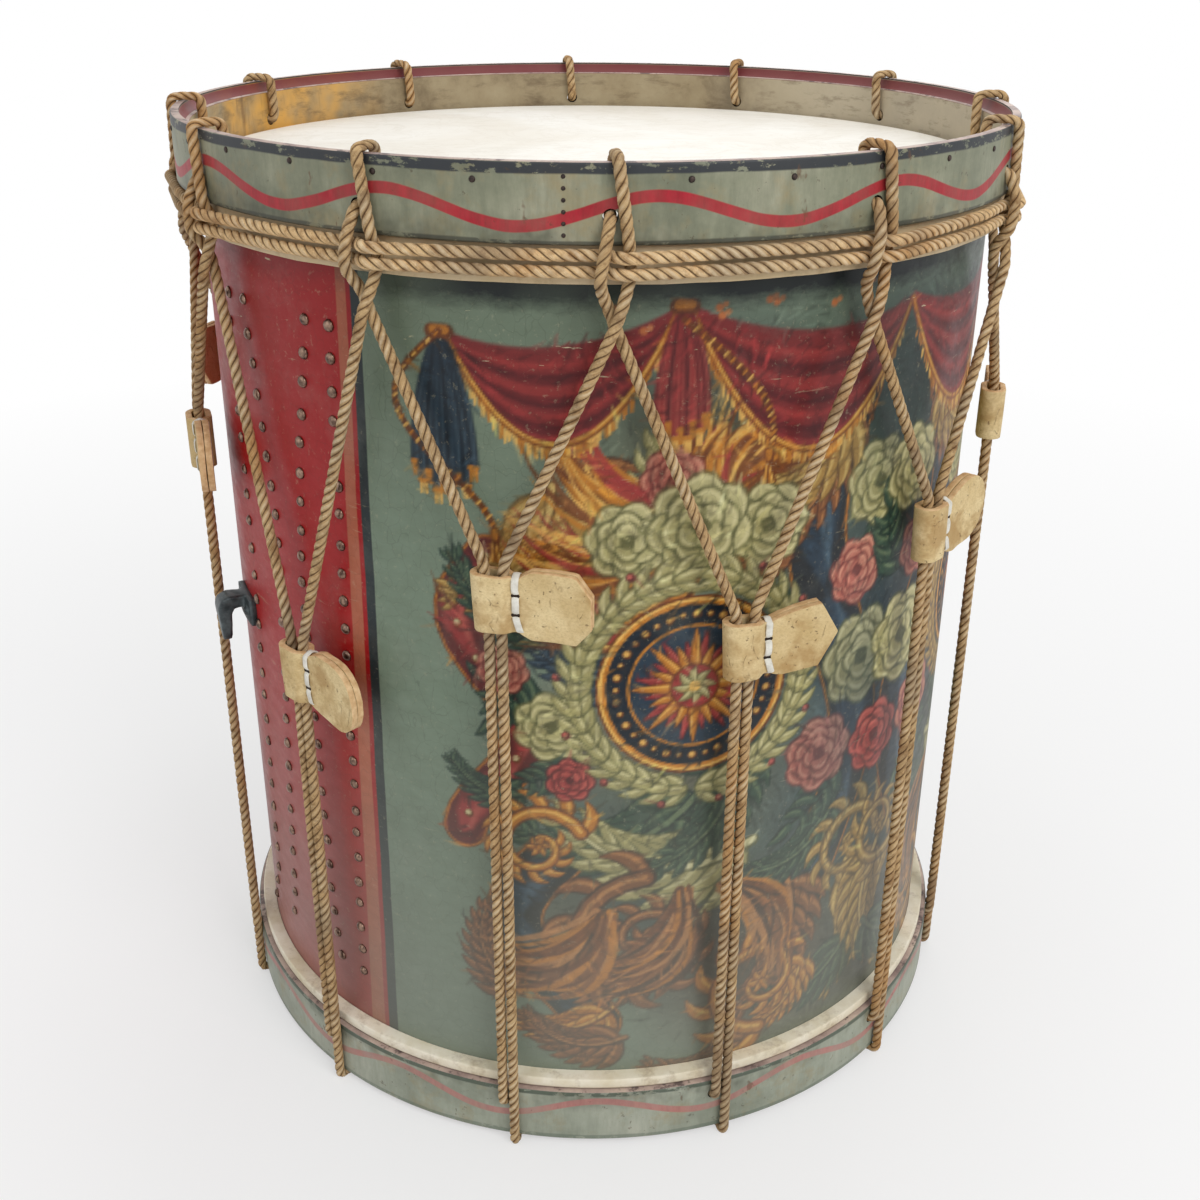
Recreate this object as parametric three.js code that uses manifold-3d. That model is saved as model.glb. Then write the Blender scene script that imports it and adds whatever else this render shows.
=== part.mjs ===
// A rope-tensioned military drum, standing on end on the bights of its own rope. A bent wooden shell carries
// two calfskin heads, each lapped on a flesh hoop and pressed down by a pierced counter hoop. One long rope
// laces the two counter hoops together, leather tugs draw its strands together in pairs to tighten the
// heads, and a drag rope of two turns is woven through the lacing under the upper counter hoop.
// Millimetres, +Z up, origin on the floor under the axis. Angles start at the front, -Y, and grow towards +X.
import * as THREE from "three";
import { mergeVertices } from "three/addons/utils/BufferGeometryUtils.js";
import Module from "manifold-3d";

const wasm = await Module();
wasm.setup();

const turnOf = (degrees) => THREE.MathUtils.degToRad(degrees);
const rightAngle = turnOf(90);

// Fits
const fit = 0.3; // between two pieces that touch
const overrun = 5; // of every cutting tool
const ringSides = 48; // facets of everything that runs round the drum
const roundSteps = 2; // of an eased edge
const flatShare = Math.cos(Math.PI / ringSides); // a facet's middle against its corners

// Shell
const shellRadius = 304;
const shellWall = 8;
const bearingRound = 5;
const liningHeight = 34;
const liningWall = 6;
const shellInside = shellRadius - shellWall;

// Heads and flesh hoops
const skin = 1;
const fleshWidth = 8.4;
const fleshHeights = { upper: 18.4, lower: 6.4 };
const lapMouth = 1; // between the skin's turned-in end and its collar
const collarInside = shellRadius + fit;
const collarOutside = collarInside + skin;
const fleshInside = collarOutside + fit;
const fleshOutside = fleshInside + fleshWidth;
const lapInside = fleshOutside + fit;
const lapOutside = lapInside + skin;
const lapPlies = 2 * (fit + skin); // what a lap is taller than its flesh hoop

// Counter hoops
const hoopEase = 1.7; // between a head's collar and the hoop's inner face
const hoopWall = 13;
const hoopHeight = 48;
const hoopRound = 1.5;
const hoopSpan = 753.6; // from the lower hoop's foot to the upper hoop's rim
const headRecess = 38; // a head's face below its rim
const laceHole = 11;
const upperHoleShare = 0.646; // of a hoop's height, from its rim to the middle of its holes
const lowerHoleShare = 0.729;
const holeSides = 8;
const hoopInside = collarOutside + hoopEase;
const hoopOutside = hoopInside + hoopWall;

// Ropes
const rope = 8;
const dragRope = 8;
const ropeSides = 6;
const ropeCount = 12;
const tightBend = 5; // of the rope's middle line at a hole
const easyBend = 14;
const ropeStep = turnOf(55); // the most that one step of a bend turns
const ropeStraight = turnOf(42); // a bend under this is a plain corner
const footCut = 3.4; // pressed flat where the drum stands on its rope
const crossingLift = 2; // of the outer strand above the hoops' face, where two strands cross
const holeStand = 2; // of a strand's bend out of its hole, above the hoop's face
const mouthRise = 6; // of a strand's bend above its tug
const strandRadius = hoopOutside + fit + rope / 2;
const innerStrandRadius = hoopInside * flatShare - fit - rope / 2;
const overRim = fit + rope / 2;

// Heights
const footZ = fit + rope - footCut;
const rimZ = footZ + hoopSpan;
const lowerHoleZ = footZ + hoopHeight * lowerHoleShare;
const upperHoleZ = rimZ - hoopHeight * upperHoleShare;
const lowerHoopTop = footZ + hoopHeight;
const upperHoopFoot = rimZ - hoopHeight;

// Lacing round the drum. The upper holes were drilled by eye, each a little off its even place.
const firstTop = turnOf(-176);
const sector = turnOf(360) / ropeCount;
const holeDrifts = [0.9, 1.5, 2.5, 0, 0, -0.4, -1.9, -0.5, 0, 0, 1, 0.6].map(turnOf);
const tugDrift = turnOf(-0.7);
const topAngle = (k) => firstTop + k * sector + holeDrifts[k % ropeCount];
const tugAngle = (k) => firstTop + (k + 0.5) * sector + tugDrift;

// Tugs
const leather = 5;
const boreEase = 0.8;
const tugHeight = 41;
const tugLength = 83;
const tabHeight = 49;
const pairSpacing = 8.7; // between the two strands below a tug
const mouthSpacing = 13; // between them where they enter it
const lacePlace = 15.5; // from the middle of the pair
const laceWidth = 4;
const laceThickness = 1.6;
const plyGap = 0.3;
const foldArc = 5; // steps of the fold's half circle
const boreRadius = rope / 2 + boreEase;
// Each tug's height, as a share of the way from the lower hoop to the upper one
const tugShares = [0.71, 0.634, 0.753, 0.703, 0.505, 0.646, 0.586, 0.66, 0.725, 0.611, 0.68, 0.573];
const tugHeights = tugShares.map((share) => lowerHoopTop + share * (upperHoopFoot - lowerHoopTop));
const tabStyles = ["round", "pointed", "cropped", "round", "round", "cropped"];
tabStyles.push("pointed", "round", "cropped", "round", "pointed", "cropped");
const tabLeans = [4, -5, 3, -3, -9, -2, 7, 9, -4, 5, -6, 2].map(turnOf);

// Drag rope
const dragSag = 0.7; // what a straight step of its line cuts into its curve
const dragRest = lapOutside + fit + dragRope / 2 + dragSag;
const dragGap = 2; // between its two turns
const dragPitch = dragRope + dragGap;
const dragDrop = 1.5; // its upper turn below the hoop's foot
const upperDragZ = upperHoopFoot - dragDrop - dragRope / 2;
const lowerDragZ = upperDragZ - dragPitch;
const dragFirst = 1; // the lacing point where its first turn starts, at the back
const dragTurns = 2;
const dragEnd = 18; // from its first and last lacing point to its cut ends

// Sling hook
const hookAngle = turnOf(-66);
const hookZ = 384;
const hookPlateWidth = 42;
const hookPlateHeight = 20;
const hookPlateThickness = 3.5;
const hookReach = 25;
const hookDrop = 36;
const hookArm = 8;
const hookTip = 4.5;
const hookWidth = 15;
const hookTipWidth = 9;
const hookPlateSteps = 4;
const rivetShank = 5;
const rivetHead = 11;
const rivetHeadHeight = 3.2;
const rivetSpread = 27;
const rivetSides = 8;

// Vent
const ventAngle = turnOf(180);
const ventZ = 383;
const ventBore = 8;
const ventWall = 2;
const ventFlange = 18;
const ventFlangeThickness = 1.5;
const ventSides = 12;

// Solids

function solidOf(geometry) {
  const bare = geometry.index ? geometry.clone() : geometry;
  bare.deleteAttribute("normal");
  bare.deleteAttribute("uv");
  const merged = mergeVertices(bare);
  return new wasm.Manifold(
    new wasm.Mesh({
      numProp: 3,
      vertProperties: merged.attributes.position.array,
      triVerts: new Uint32Array(merged.index.array),
    }),
  );
}

function geometryOf(solid) {
  const { vertProperties, triVerts } = solid.getMesh();
  return new THREE.BufferGeometry()
    .setAttribute("position", new THREE.BufferAttribute(vertProperties, 3))
    .setIndex(new THREE.BufferAttribute(triVerts, 1));
}

const cut = (geometry, ...tools) =>
  geometryOf(
    tools.reduce((left, tool) => left.subtract(solidOf(tool)), solidOf(geometry)),
  );

// A profile of [radius, height] pairs turned about Z. It is closed unless it starts and ends on the axis.
function turned(profile, sides = ringSides) {
  const points = profile.map(([r, z]) => new THREE.Vector2(r, z));
  if (profile[0][0] !== 0) points.push(points[0].clone());
  return new THREE.LatheGeometry(points, sides).rotateX(rightAngle);
}

// Points on a quarter round of a profile, from one angle to another about its centre.
function roundOff(r, z, radius, from, to, steps) {
  return Array.from({ length: steps + 1 }, (_, i) => {
    const angle = from + ((to - from) * i) / steps;
    return [r + radius * Math.cos(angle), z + radius * Math.sin(angle)];
  });
}

const flipped = (profile) => profile.map(([r, z]) => [r, -z]).reverse();
const raised = (profile, by) => profile.map(([r, z]) => [r, z + by]);

// A peg lying along the radius at the front of the drum, swung to its angle.
function radialPeg(diameter, from, to, z, angle, sides, aside = 0) {
  return new THREE.CylinderGeometry(diameter / 2, diameter / 2, to - from, sides)
    .translate(aside, -(from + to) / 2, z)
    .rotateZ(angle);
}

// A solid through rings of points that run alike, capped with the flat outline of its first and last ring.
function lofted(rings, outline) {
  const count = rings[0].length;
  const positions = rings.flat().flatMap((p) => [p.x, p.y, p.z]);
  const index = [];
  for (let level = 0; level < rings.length - 1; level++) {
    for (let i = 0; i < count; i++) {
      const low = level * count;
      const next = (i + 1) % count;
      index.push(low + i, low + next, low + count + next);
      index.push(low + i, low + count + next, low + count + i);
    }
  }
  const last = (rings.length - 1) * count;
  for (const [a, b, c] of THREE.ShapeUtils.triangulateShape(outline, [])) {
    index.push(a, c, b, last + a, last + b, last + c);
  }
  return new THREE.BufferGeometry()
    .setAttribute("position", new THREE.Float32BufferAttribute(positions, 3))
    .setIndex(index);
}

// Rope

// A stop of a rope's middle line: its place beside an angle, its radius, its height and its bend.
function stop(angle, aside, radius, z, bend = easyBend) {
  const turn = angle + aside / strandRadius;
  const at = new THREE.Vector3(radius * Math.sin(turn), -radius * Math.cos(turn), z);
  return { at, bend };
}

// The middle line through the stops, with an arc at each sharp one.
function middleLine(stops) {
  const line = [stops[0].at];
  for (let i = 1; i < stops.length - 1; i++) {
    const { at, bend } = stops[i];
    const back = stops[i - 1].at.clone().sub(at).normalize();
    const ahead = stops[i + 1].at.clone().sub(at).normalize();
    const turn = Math.PI - back.angleTo(ahead);
    if (turn < ropeStraight) {
      line.push(at);
      continue;
    }
    const steps = Math.ceil(turn / ropeStep);
    const toCentre = back.clone().add(ahead).normalize();
    const centre = at.clone().addScaledVector(toCentre, bend / Math.cos(turn / 2));
    const first = at.clone().addScaledVector(back, bend * Math.tan(turn / 2)).sub(centre);
    const axis = ahead.clone().cross(back).normalize();
    for (let n = 0; n <= steps; n++) {
      line.push(first.clone().applyAxisAngle(axis, (turn * n) / steps).add(centre));
    }
  }
  line.push(stops[stops.length - 1].at);
  return line;
}

// A tube of even sides along a line, its rings carried along without twist.
function tube(line, diameter) {
  const ahead = line.slice(1).map((p, i) => p.clone().sub(line[i]).normalize());
  const along = line.map((_, i) => {
    const before = ahead[Math.max(i - 1, 0)];
    const after = ahead[Math.min(i, ahead.length - 1)];
    return before.clone().add(after).normalize();
  });
  const upright = new THREE.Vector3(0, 0, 1);
  let across = upright.cross(along[0]).normalize();
  const rings = along.map((way, i) => {
    across = across.addScaledVector(way, -across.dot(way)).normalize();
    const other = way.clone().cross(across);
    return Array.from({ length: ropeSides }, (_, n) => {
      const turn = turnOf(360) * (n / ropeSides);
      return line[i]
        .clone()
        .addScaledVector(across, (diameter / 2) * Math.cos(turn))
        .addScaledVector(other, (diameter / 2) * Math.sin(turn));
    });
  });
  const outline = rings[0].map((_, n) => {
    const turn = turnOf(360) * (n / ropeSides);
    return new THREE.Vector2(Math.cos(turn), Math.sin(turn));
  });
  return lofted(rings, outline);
}

// Materials

const paint = (color, roughness, metalness = 0) =>
  new THREE.MeshStandardMaterial({ color, roughness, metalness, flatShading: true });
const paintedGreen = () => paint(0x6f7d70, 0.55);
const paintedHoop = () => paint(0x8b8f7a, 0.55);
const bareWood = () => paint(0xa98a5a, 0.7);
const calfskin = () => paint(0xece6da, 0.6);
const hemp = () => paint(0xc19a63, 0.9);
const buffLeather = () => paint(0xcdbf94, 0.75);
const whiteLace = () => paint(0xe8e4d8, 0.7);
const darkIron = () => paint(0x3c4548, 0.5, 0.8);
const brass = () => paint(0x9a7b3c, 0.4, 0.9);

const drum = new THREE.Group();

function add(parent, name, geometry, material) {
  const mesh = new THREE.Mesh(geometry, material);
  mesh.name = name;
  parent.add(mesh);
  return mesh;
}

// Shell, open at both ends, with a rounded bearing edge under each head
const shellTop = rimZ - headRecess - skin - fit;
const shellFoot = footZ + headRecess + skin + fit;

function shellShape() {
  const edgeRadius = shellRadius - bearingRound;
  const top = roundOff(edgeRadius, shellTop - bearingRound, bearingRound, 0, rightAngle, roundSteps);
  const foot = roundOff(edgeRadius, shellFoot + bearingRound, bearingRound, -rightAngle, 0, roundSteps);
  const hollow = [
    [shellInside, shellTop],
    [shellInside, shellFoot],
  ];
  return turned([...foot, ...top, ...hollow]);
}

const through = [shellInside - overrun, shellRadius + overrun];
const rivetHole = rivetShank + 2 * fit;
const ventHole = ventBore + 2 * (ventWall + fit);
const rivetTools = (from, to) =>
  [-1, 1].map((side) =>
    radialPeg(rivetHole, from, to, hookZ, hookAngle, rivetSides, (side * rivetSpread) / 2),
  );
const ventTool = radialPeg(ventHole, ...through, ventZ, ventAngle, ventSides);
add(drum, "shell", cut(shellShape(), ...rivetTools(...through), ventTool), paintedGreen());

// Lining hoops glued inside the shell's ends
function liningShape(foot) {
  const outside = shellInside - fit;
  const inside = outside - liningWall;
  return turned([
    [inside, foot],
    [outside, foot],
    [outside, foot + liningHeight],
    [inside, foot + liningHeight],
  ]);
}
add(drum, "lower_lining_hoop", liningShape(shellFoot), bareWood());
add(drum, "upper_lining_hoop", liningShape(shellTop - liningHeight), bareWood());

// A head: a drawn skin over the bearing edge, down the shell and lapped round its flesh hoop. Heights are
// measured from the rim that it lies under.
const headFace = -headRecess;
const lapTop = -hoopHeight - fit;
const lapFoot = (place) => lapTop - fleshHeights[place] - lapPlies;

function headShape(place) {
  const foot = lapFoot(place);
  const edgeRadius = shellRadius - bearingRound;
  const edgeZ = headFace - skin - fit - bearingRound;
  const outerEdge = roundOff(edgeRadius, edgeZ, bearingRound + fit + skin, 0, rightAngle, roundSteps);
  const innerEdge = roundOff(edgeRadius, edgeZ, bearingRound + fit, rightAngle, 0, roundSteps);
  return [
    [0, headFace - skin],
    ...innerEdge,
    [collarInside, foot],
    [lapOutside, foot],
    [lapOutside, lapTop],
    [collarOutside + lapMouth, lapTop],
    [collarOutside + lapMouth, lapTop - skin],
    [lapInside, lapTop - skin],
    [lapInside, foot + skin],
    [collarOutside, foot + skin],
    ...outerEdge,
    [0, headFace],
  ];
}

function fleshShape(place) {
  const foot = lapFoot(place) + skin + fit;
  const top = foot + fleshHeights[place];
  return [
    [fleshInside, foot],
    [fleshOutside, foot],
    [fleshOutside, top],
    [fleshInside, top],
  ];
}

// A counter hoop, its rim and its outer edge eased for the rope
function hoopShape() {
  const outer = hoopOutside - hoopRound;
  const inner = hoopInside + hoopRound;
  return [
    [hoopInside, -hoopHeight],
    [outer, -hoopHeight],
    [hoopOutside, hoopRound - hoopHeight],
    ...roundOff(outer, -hoopRound, hoopRound, 0, rightAngle, roundSteps),
    [inner, 0],
    [hoopInside, -hoopRound],
  ];
}

const topHoleAside = -3; // a rope's hole against the place where it crosses the rim
const footHoleAside = -pairSpacing / 2;

function laceHoles(z, angleOf, aside) {
  return Array.from({ length: ropeCount }, (_, k) => {
    const angle = angleOf(k) + aside / strandRadius;
    return radialPeg(laceHole, hoopInside - overrun, hoopOutside + overrun, z, angle, holeSides);
  });
}

const ends = [
  { place: "upper", seat: (profile) => raised(profile, rimZ) },
  { place: "lower", seat: (profile) => raised(flipped(profile), footZ) },
];
const holes = {
  upper: laceHoles(upperHoleZ, topAngle, topHoleAside),
  lower: laceHoles(lowerHoleZ, tugAngle, footHoleAside),
};
for (const { place, seat } of ends) {
  add(drum, place + "_head_skin", turned(seat(headShape(place))), calfskin());
  add(drum, place + "_flesh_hoop", turned(seat(fleshShape(place))), bareWood());
  const hoop = turned(seat(hoopShape()));
  add(drum, place + "_counter_hoop", cut(hoop, ...holes[place]), paintedHoop());
}

// One length of the tension rope, from an upper hole to the next: out of the hole and in front of the drag
// rope, behind the next length, down through its tug, in at the lower hole and out under the foot, back up
// through the tug, behind the drag rope and over the rim.
const frontStrand = dragRest + (dragRope + rope) / 2 + 4 * fit;
const behindStrand = lapOutside + 2 * fit + rope / 2;
const crossingZ = rimZ - 2 * hoopHeight;
const crossingFront = strandRadius + crossingLift;
const crossingBack = crossingFront - rope - 2 * fit;
const holeMouth = hoopOutside + holeStand;
const butt = (hoopInside + hoopOutside) / 2;
const tugTop = (k) => tugHeights[k] + tugHeight / 2;
const tugFoot = (k) => tugHeights[k] - tugHeight / 2;
const pairHalf = pairSpacing / 2;
const mouthHalf = mouthSpacing / 2;

// The strand in front: places beside the lacing point, with radius and height from the size named in each
const frontRoute = {
  hoop: { aside: -6, radius: 0, rise: 0 },
  drag: { aside: -9.5, radius: 0, rise: -4.5 },
  slope: { aside: -7.5, radius: 4.3, rise: -13 },
  inner: { aside: -4.5, radius: 0.5, rise: 12 },
};

// The strand behind, likewise
const behindRoute = {
  outer: { aside: 4.5, radius: -2, rise: 12 },
  drag: { aside: 9.5, radius: 0, rise: -3 },
  ring: { aside: 9, radius: 0, rise: -2 },
  edge: { aside: 8.5, radius: -2.2, rise: -3.4 },
  hoop: { aside: 8, radius: 0, rise: 2 },
  rim: { aside: 1, radius: 0, rise: 0 },
};

const past = (angle, { aside, radius, rise }, from, z, bend) =>
  stop(angle, aside, from + radius, z + rise, bend);

function ropeStops(k) {
  const from = topAngle(k);
  const middle = tugAngle(k);
  const to = topAngle(k + 1);
  const mouthZ = tugTop(k) + mouthRise;
  const mouth = mouthHalf + fit;
  const foot = footZ - overRim;
  const rim = rimZ + overRim;
  return [
    stop(from, topHoleAside, butt + fit / 2, upperHoleZ),
    stop(from, topHoleAside, holeMouth, upperHoleZ, tightBend),
    past(from, frontRoute.hoop, frontStrand, upperHoopFoot),
    past(from, frontRoute.drag, frontStrand, lowerDragZ),
    past(from, frontRoute.slope, crossingBack, lowerDragZ),
    past(from, frontRoute.inner, crossingBack, crossingZ),
    stop(from, 0, crossingBack, crossingZ),
    stop(middle, -mouth, strandRadius, mouthZ),
    stop(middle, -pairHalf, strandRadius, tugFoot(k)),
    stop(middle, -pairHalf, strandRadius, lowerHoleZ, tightBend),
    stop(middle, -pairHalf, innerStrandRadius, lowerHoleZ, tightBend),
    stop(middle, pairHalf, innerStrandRadius, foot, tightBend),
    stop(middle, pairHalf, strandRadius, foot, tightBend),
    stop(middle, pairHalf, strandRadius, tugFoot(k)),
    stop(middle, mouth, strandRadius, mouthZ),
    stop(to, 0, crossingFront, crossingZ),
    past(to, behindRoute.outer, crossingFront, crossingZ),
    past(to, behindRoute.drag, behindStrand, lowerDragZ),
    past(to, behindRoute.ring, behindStrand, upperDragZ),
    past(to, behindRoute.edge, strandRadius, upperHoopFoot),
    past(to, behindRoute.hoop, strandRadius, upperHoopFoot),
    past(to, behindRoute.rim, strandRadius, rim, tightBend),
    stop(to, 0, innerStrandRadius, rim, tightBend),
    stop(to, topHoleAside, innerStrandRadius, upperHoleZ, tightBend),
    stop(to, topHoleAside, butt - fit / 2, upperHoleZ),
  ];
}

const floorSize = 2 * (strandRadius + overrun);
const floor = new THREE.BoxGeometry(floorSize, floorSize, rope).translate(0, 0, -rope / 2);
const number = (k) => String(k + 1).padStart(2, "0");
const ropeLines = Array.from({ length: ropeCount }, (_, k) => middleLine(ropeStops(k)));
ropeLines.forEach((line, k) =>
  add(drum, "tension_rope_" + number(k), cut(tube(line, rope), floor), hemp()),
);

// The drag rope: two turns woven over each rising strand and under each falling one
const weaveGap = (dragRope + rope) / 2 + fit;
const upperDip = 1.5; // of the strand behind the upper turn, inside its radius at the hoop
const lowerRise = 1; // of the strand behind the lower turn, outside its least radius
const weaveUpper = { under: -3.5, over: 6, radius: strandRadius - upperDip + weaveGap };
const weaveLower = { under: -5.5, over: 6, radius: behindStrand + lowerRise + weaveGap };
const restShares = [0.5, 0.74]; // of a sector, where the rope lies back on the skin
const fallShares = [0.25, 0.5, 0.76]; // of the sector where its first turn passes into its second
const dragEndDip = 1;

function dragStops() {
  const stops = [];
  const points = dragTurns * ropeCount;
  for (let n = 0; n < points; n++) {
    const angle = topAngle(dragFirst + n);
    const z = n < ropeCount ? upperDragZ : lowerDragZ;
    const weave = n < ropeCount ? weaveUpper : weaveLower;
    if (n === 0) stops.push(stop(angle, -dragEnd, dragRest, z));
    stops.push(stop(angle, weave.under, dragRest, z, weaveGap));
    stops.push(stop(angle, weave.over, weave.radius, z, weaveGap));
    if (n === points - 1) {
      stops.push(stop(angle, dragEnd, weave.radius - dragEndDip, z));
      continue;
    }
    const falls = n === ropeCount - 1;
    (falls ? fallShares : restShares).forEach((share, i) => {
      const radius = share < restShares[0] ? dragRest + rope / 2 : dragRest;
      stops.push(stop(angle + share * sector, 0, radius, falls && i > 0 ? z - dragPitch : z));
    });
  }
  return stops;
}
const dragLine = middleLine(dragStops());
add(drum, "drag_rope", tube(dragLine, dragRope), hemp());

// A leather tug: a strip folded round both strands, its two plies laced together and cut to a tab. It is
// drawn at the front of the drum with its pair of strands on the origin, x to the right and y inwards.
const closeAt = lacePlace - laceWidth / 2 - boreEase;
const shoulderShares = [0.5, 0.8]; // of the way from the right strand to where the plies meet
const shoulderDepthShares = [0.8, 0.28]; // of the bore's radius there
const foldLeft = -(mouthHalf + boreRadius + leather);
const tabTip = foldLeft + tugLength;

function tugSection(half) {
  const slit = plyGap / 2;
  const lie = (depth) => {
    const side = (k) => [
      half + (closeAt - half) * shoulderShares[k],
      slit + (boreRadius - slit) * shoulderDepthShares[k] + depth,
    ];
    return [[tabTip + overrun, slit + depth], [closeAt, slit + depth], side(1), side(0)];
  };
  const fold = (radius) =>
    roundOff(-half, 0, radius, rightAngle, Math.PI + rightAngle, foldArc);
  const mirrored = (points) => points.map(([x, y]) => [x, -y]).reverse();
  const bore = [...lie(0), [half, boreRadius], ...fold(boreRadius), [half, -boreRadius]];
  const outside = [...lie(leather), [half, boreRadius + leather], ...fold(boreRadius + leather)];
  const hide = [...outside, [half, -boreRadius - leather], ...mirrored(lie(leather))];
  return [...hide, ...[...bore, ...mirrored(lie(0))].reverse()];
}

const tipShares = {
  cropped: [[0.16, 1], [0.78, 1], [1, 0.45]],
  pointed: [[0.16, 0.92], [0.74, 0.96], [1, 0]],
  round: [[0.2, 0.98], [0.66, 1], [0.9, 0.7], [1, 0.25]],
};

function tabOutline(style, lean) {
  const height = tugHeight / 2;
  const slope = Math.tan(lean);
  const laceRight = lacePlace + laceWidth / 2 + boreEase;
  const half = (side) => [
    [foldLeft - overrun, side * height],
    [laceRight, side * height],
    ...tipShares[style].map(([share, rise]) => {
      const x = laceRight + (tabTip - laceRight) * share;
      return [x, (side * rise * tabHeight) / 2 + (x - laceRight) * slope];
    }),
  ];
  const lower = half(-1);
  if (style === "pointed") lower.pop();
  return [...half(1), ...lower.reverse()];
}

function tugShape(style, lean) {
  const levels = [
    { z: -tugHeight / 2 - overrun, half: pairHalf },
    { z: tugHeight / 2 + overrun, half: mouthHalf },
  ];
  const rings = levels.map(({ z, half }) =>
    tugSection(half).map(([x, y]) => new THREE.Vector3(x, y, z)),
  );
  const outline = rings[0].map(({ x, y }) => new THREE.Vector2(x, y));
  const depth = 2 * (boreRadius + leather + overrun);
  const shape = new THREE.Shape(tabOutline(style, lean).map(([x, z]) => new THREE.Vector2(x, z)));
  const blank = new THREE.ExtrudeGeometry(shape, { depth, bevelEnabled: false, steps: 1 })
    .rotateX(rightAngle)
    .translate(0, depth / 2, 0);
  return geometryOf(solidOf(lofted(rings, outline)).intersect(solidOf(blank)));
}

// The white lace round both plies of a tug
function laceShape() {
  const insideHalf = [plyGap / 2 + leather + fit, tugHeight / 2 + fit];
  const frame = ([y, z], corner) => [
    [y - corner, z], [corner - y, z], [-y, z - corner], [-y, corner - z],
    [corner - y, -z], [y - corner, -z], [y, corner - z], [y, z - corner],
  ];
  const points = (list) => list.map(([y, z]) => new THREE.Vector2(y, z));
  const outsideHalf = insideHalf.map((half) => half + laceThickness);
  const shape = new THREE.Shape(points(frame(outsideHalf, laceThickness)));
  shape.holes.push(new THREE.Path(points(frame(insideHalf, fit))));
  return new THREE.ExtrudeGeometry(shape, { depth: laceWidth, bevelEnabled: false, steps: 1 })
    .rotateX(rightAngle)
    .rotateZ(rightAngle)
    .translate(lacePlace - laceWidth / 2, 0, 0);
}

for (let k = 0; k < ropeCount; k++) {
  const place = new THREE.Group();
  place.rotation.z = tugAngle(k);
  const tug = new THREE.Group();
  tug.position.set(0, -strandRadius, tugHeights[k]);
  add(tug, "leather_tug_" + number(k), tugShape(tabStyles[k], tabLeans[k]), buffLeather());
  add(tug, "tug_lace_" + number(k), laceShape(), whiteLace());
  place.add(tug);
  drum.add(place);
}

// The sling hook: a forged tongue on a plate that is bent to the shell and held by two clenched rivets
function hookShape() {
  const back = shellRadius + fit;
  const face = back + hookPlateThickness;
  const reach = back + hookReach;
  const spread = hookPlateWidth / 2 / back;
  const bow = (radius, from, to) =>
    Array.from({ length: hookPlateSteps + 1 }, (_, i) => {
      const angle = from + ((to - from) * i) / hookPlateSteps;
      return new THREE.Vector2(radius * Math.sin(angle), -radius * Math.cos(angle));
    });
  const plan = new THREE.Shape([...bow(face, -spread, spread), ...bow(back, spread, -spread)]);
  const plate = new THREE.ExtrudeGeometry(plan, { depth: hookPlateHeight, bevelEnabled: false });
  plate.translate(0, 0, -hookPlateHeight / 2);
  const armTop = hookPlateHeight / 2 - fit;
  const armFoot = armTop - hookArm;
  const side = new THREE.Shape();
  side.moveTo(-back - fit, armTop);
  side.lineTo(-reach + hookArm, armTop);
  side.lineTo(-reach + hookTip / 2, armTop - hookTip / 2);
  side.lineTo(-reach, armTop - hookArm);
  side.lineTo(-reach + hookTip / 2, armTop - hookDrop);
  side.lineTo(-reach + hookTip + hookTip / 2, armTop - hookDrop);
  side.lineTo(-reach + hookArm, armFoot - hookTip);
  side.lineTo(-reach + hookArm + hookTip / 2, armFoot);
  side.lineTo(-back - fit, armFoot);
  const tongue = new THREE.ExtrudeGeometry(side, { depth: hookWidth, bevelEnabled: false })
    .rotateX(rightAngle)
    .rotateZ(rightAngle)
    .translate(-hookWidth / 2, 0, 0);
  const wide = hookWidth / 2;
  const narrow = hookTipWidth / 2;
  const front = new THREE.Shape([
    new THREE.Vector2(-wide, armTop + overrun),
    new THREE.Vector2(-wide, armFoot),
    new THREE.Vector2(-narrow, armTop - hookDrop + narrow),
    new THREE.Vector2(-narrow / 2, armTop - hookDrop),
    new THREE.Vector2(narrow / 2, armTop - hookDrop),
    new THREE.Vector2(narrow, armTop - hookDrop + narrow),
    new THREE.Vector2(wide, armFoot),
    new THREE.Vector2(wide, armTop + overrun),
  ]);
  const taper = new THREE.ExtrudeGeometry(front, { depth: hookReach + overrun, bevelEnabled: false })
    .rotateX(rightAngle)
    .translate(0, -back + overrun, 0);
  const forged = solidOf(tongue).intersect(solidOf(taper)).add(solidOf(plate));
  return geometryOf(forged).translate(0, 0, hookZ).rotateZ(hookAngle);
}
const plateThrough = [shellRadius - overrun, shellRadius + hookPlateThickness + overrun];
add(drum, "sling_hook", cut(hookShape(), ...rivetTools(...plateThrough)), darkIron());

// A rivet with a domed head on the hook's plate and its end clenched inside the shell
function rivetShape() {
  const head = rivetHead / 2;
  const shank = rivetShank / 2;
  const under = shellRadius + hookPlateThickness + 2 * fit;
  const reach = (rivetSpread + rivetHead) / 2;
  const inside = Math.sqrt(shellInside ** 2 - reach ** 2) * flatShare - fit;
  return [
    [0, inside - rivetHeadHeight / 2],
    [head, inside - rivetHeadHeight / 2],
    [head, inside],
    [shank, inside],
    [shank, under],
    [head, under],
    [head * Math.cos(turnOf(30)), under + rivetHeadHeight / 2],
    [head / 2, under + rivetHeadHeight],
    [0, under + rivetHeadHeight],
  ];
}

[-1, 1].forEach((side, k) => {
  const shape = turned(rivetShape(), rivetSides).rotateX(rightAngle);
  shape.translate((side * rivetSpread) / 2, 0, hookZ).rotateZ(hookAngle);
  add(drum, "hook_rivet_" + number(k), shape, darkIron());
});

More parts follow.
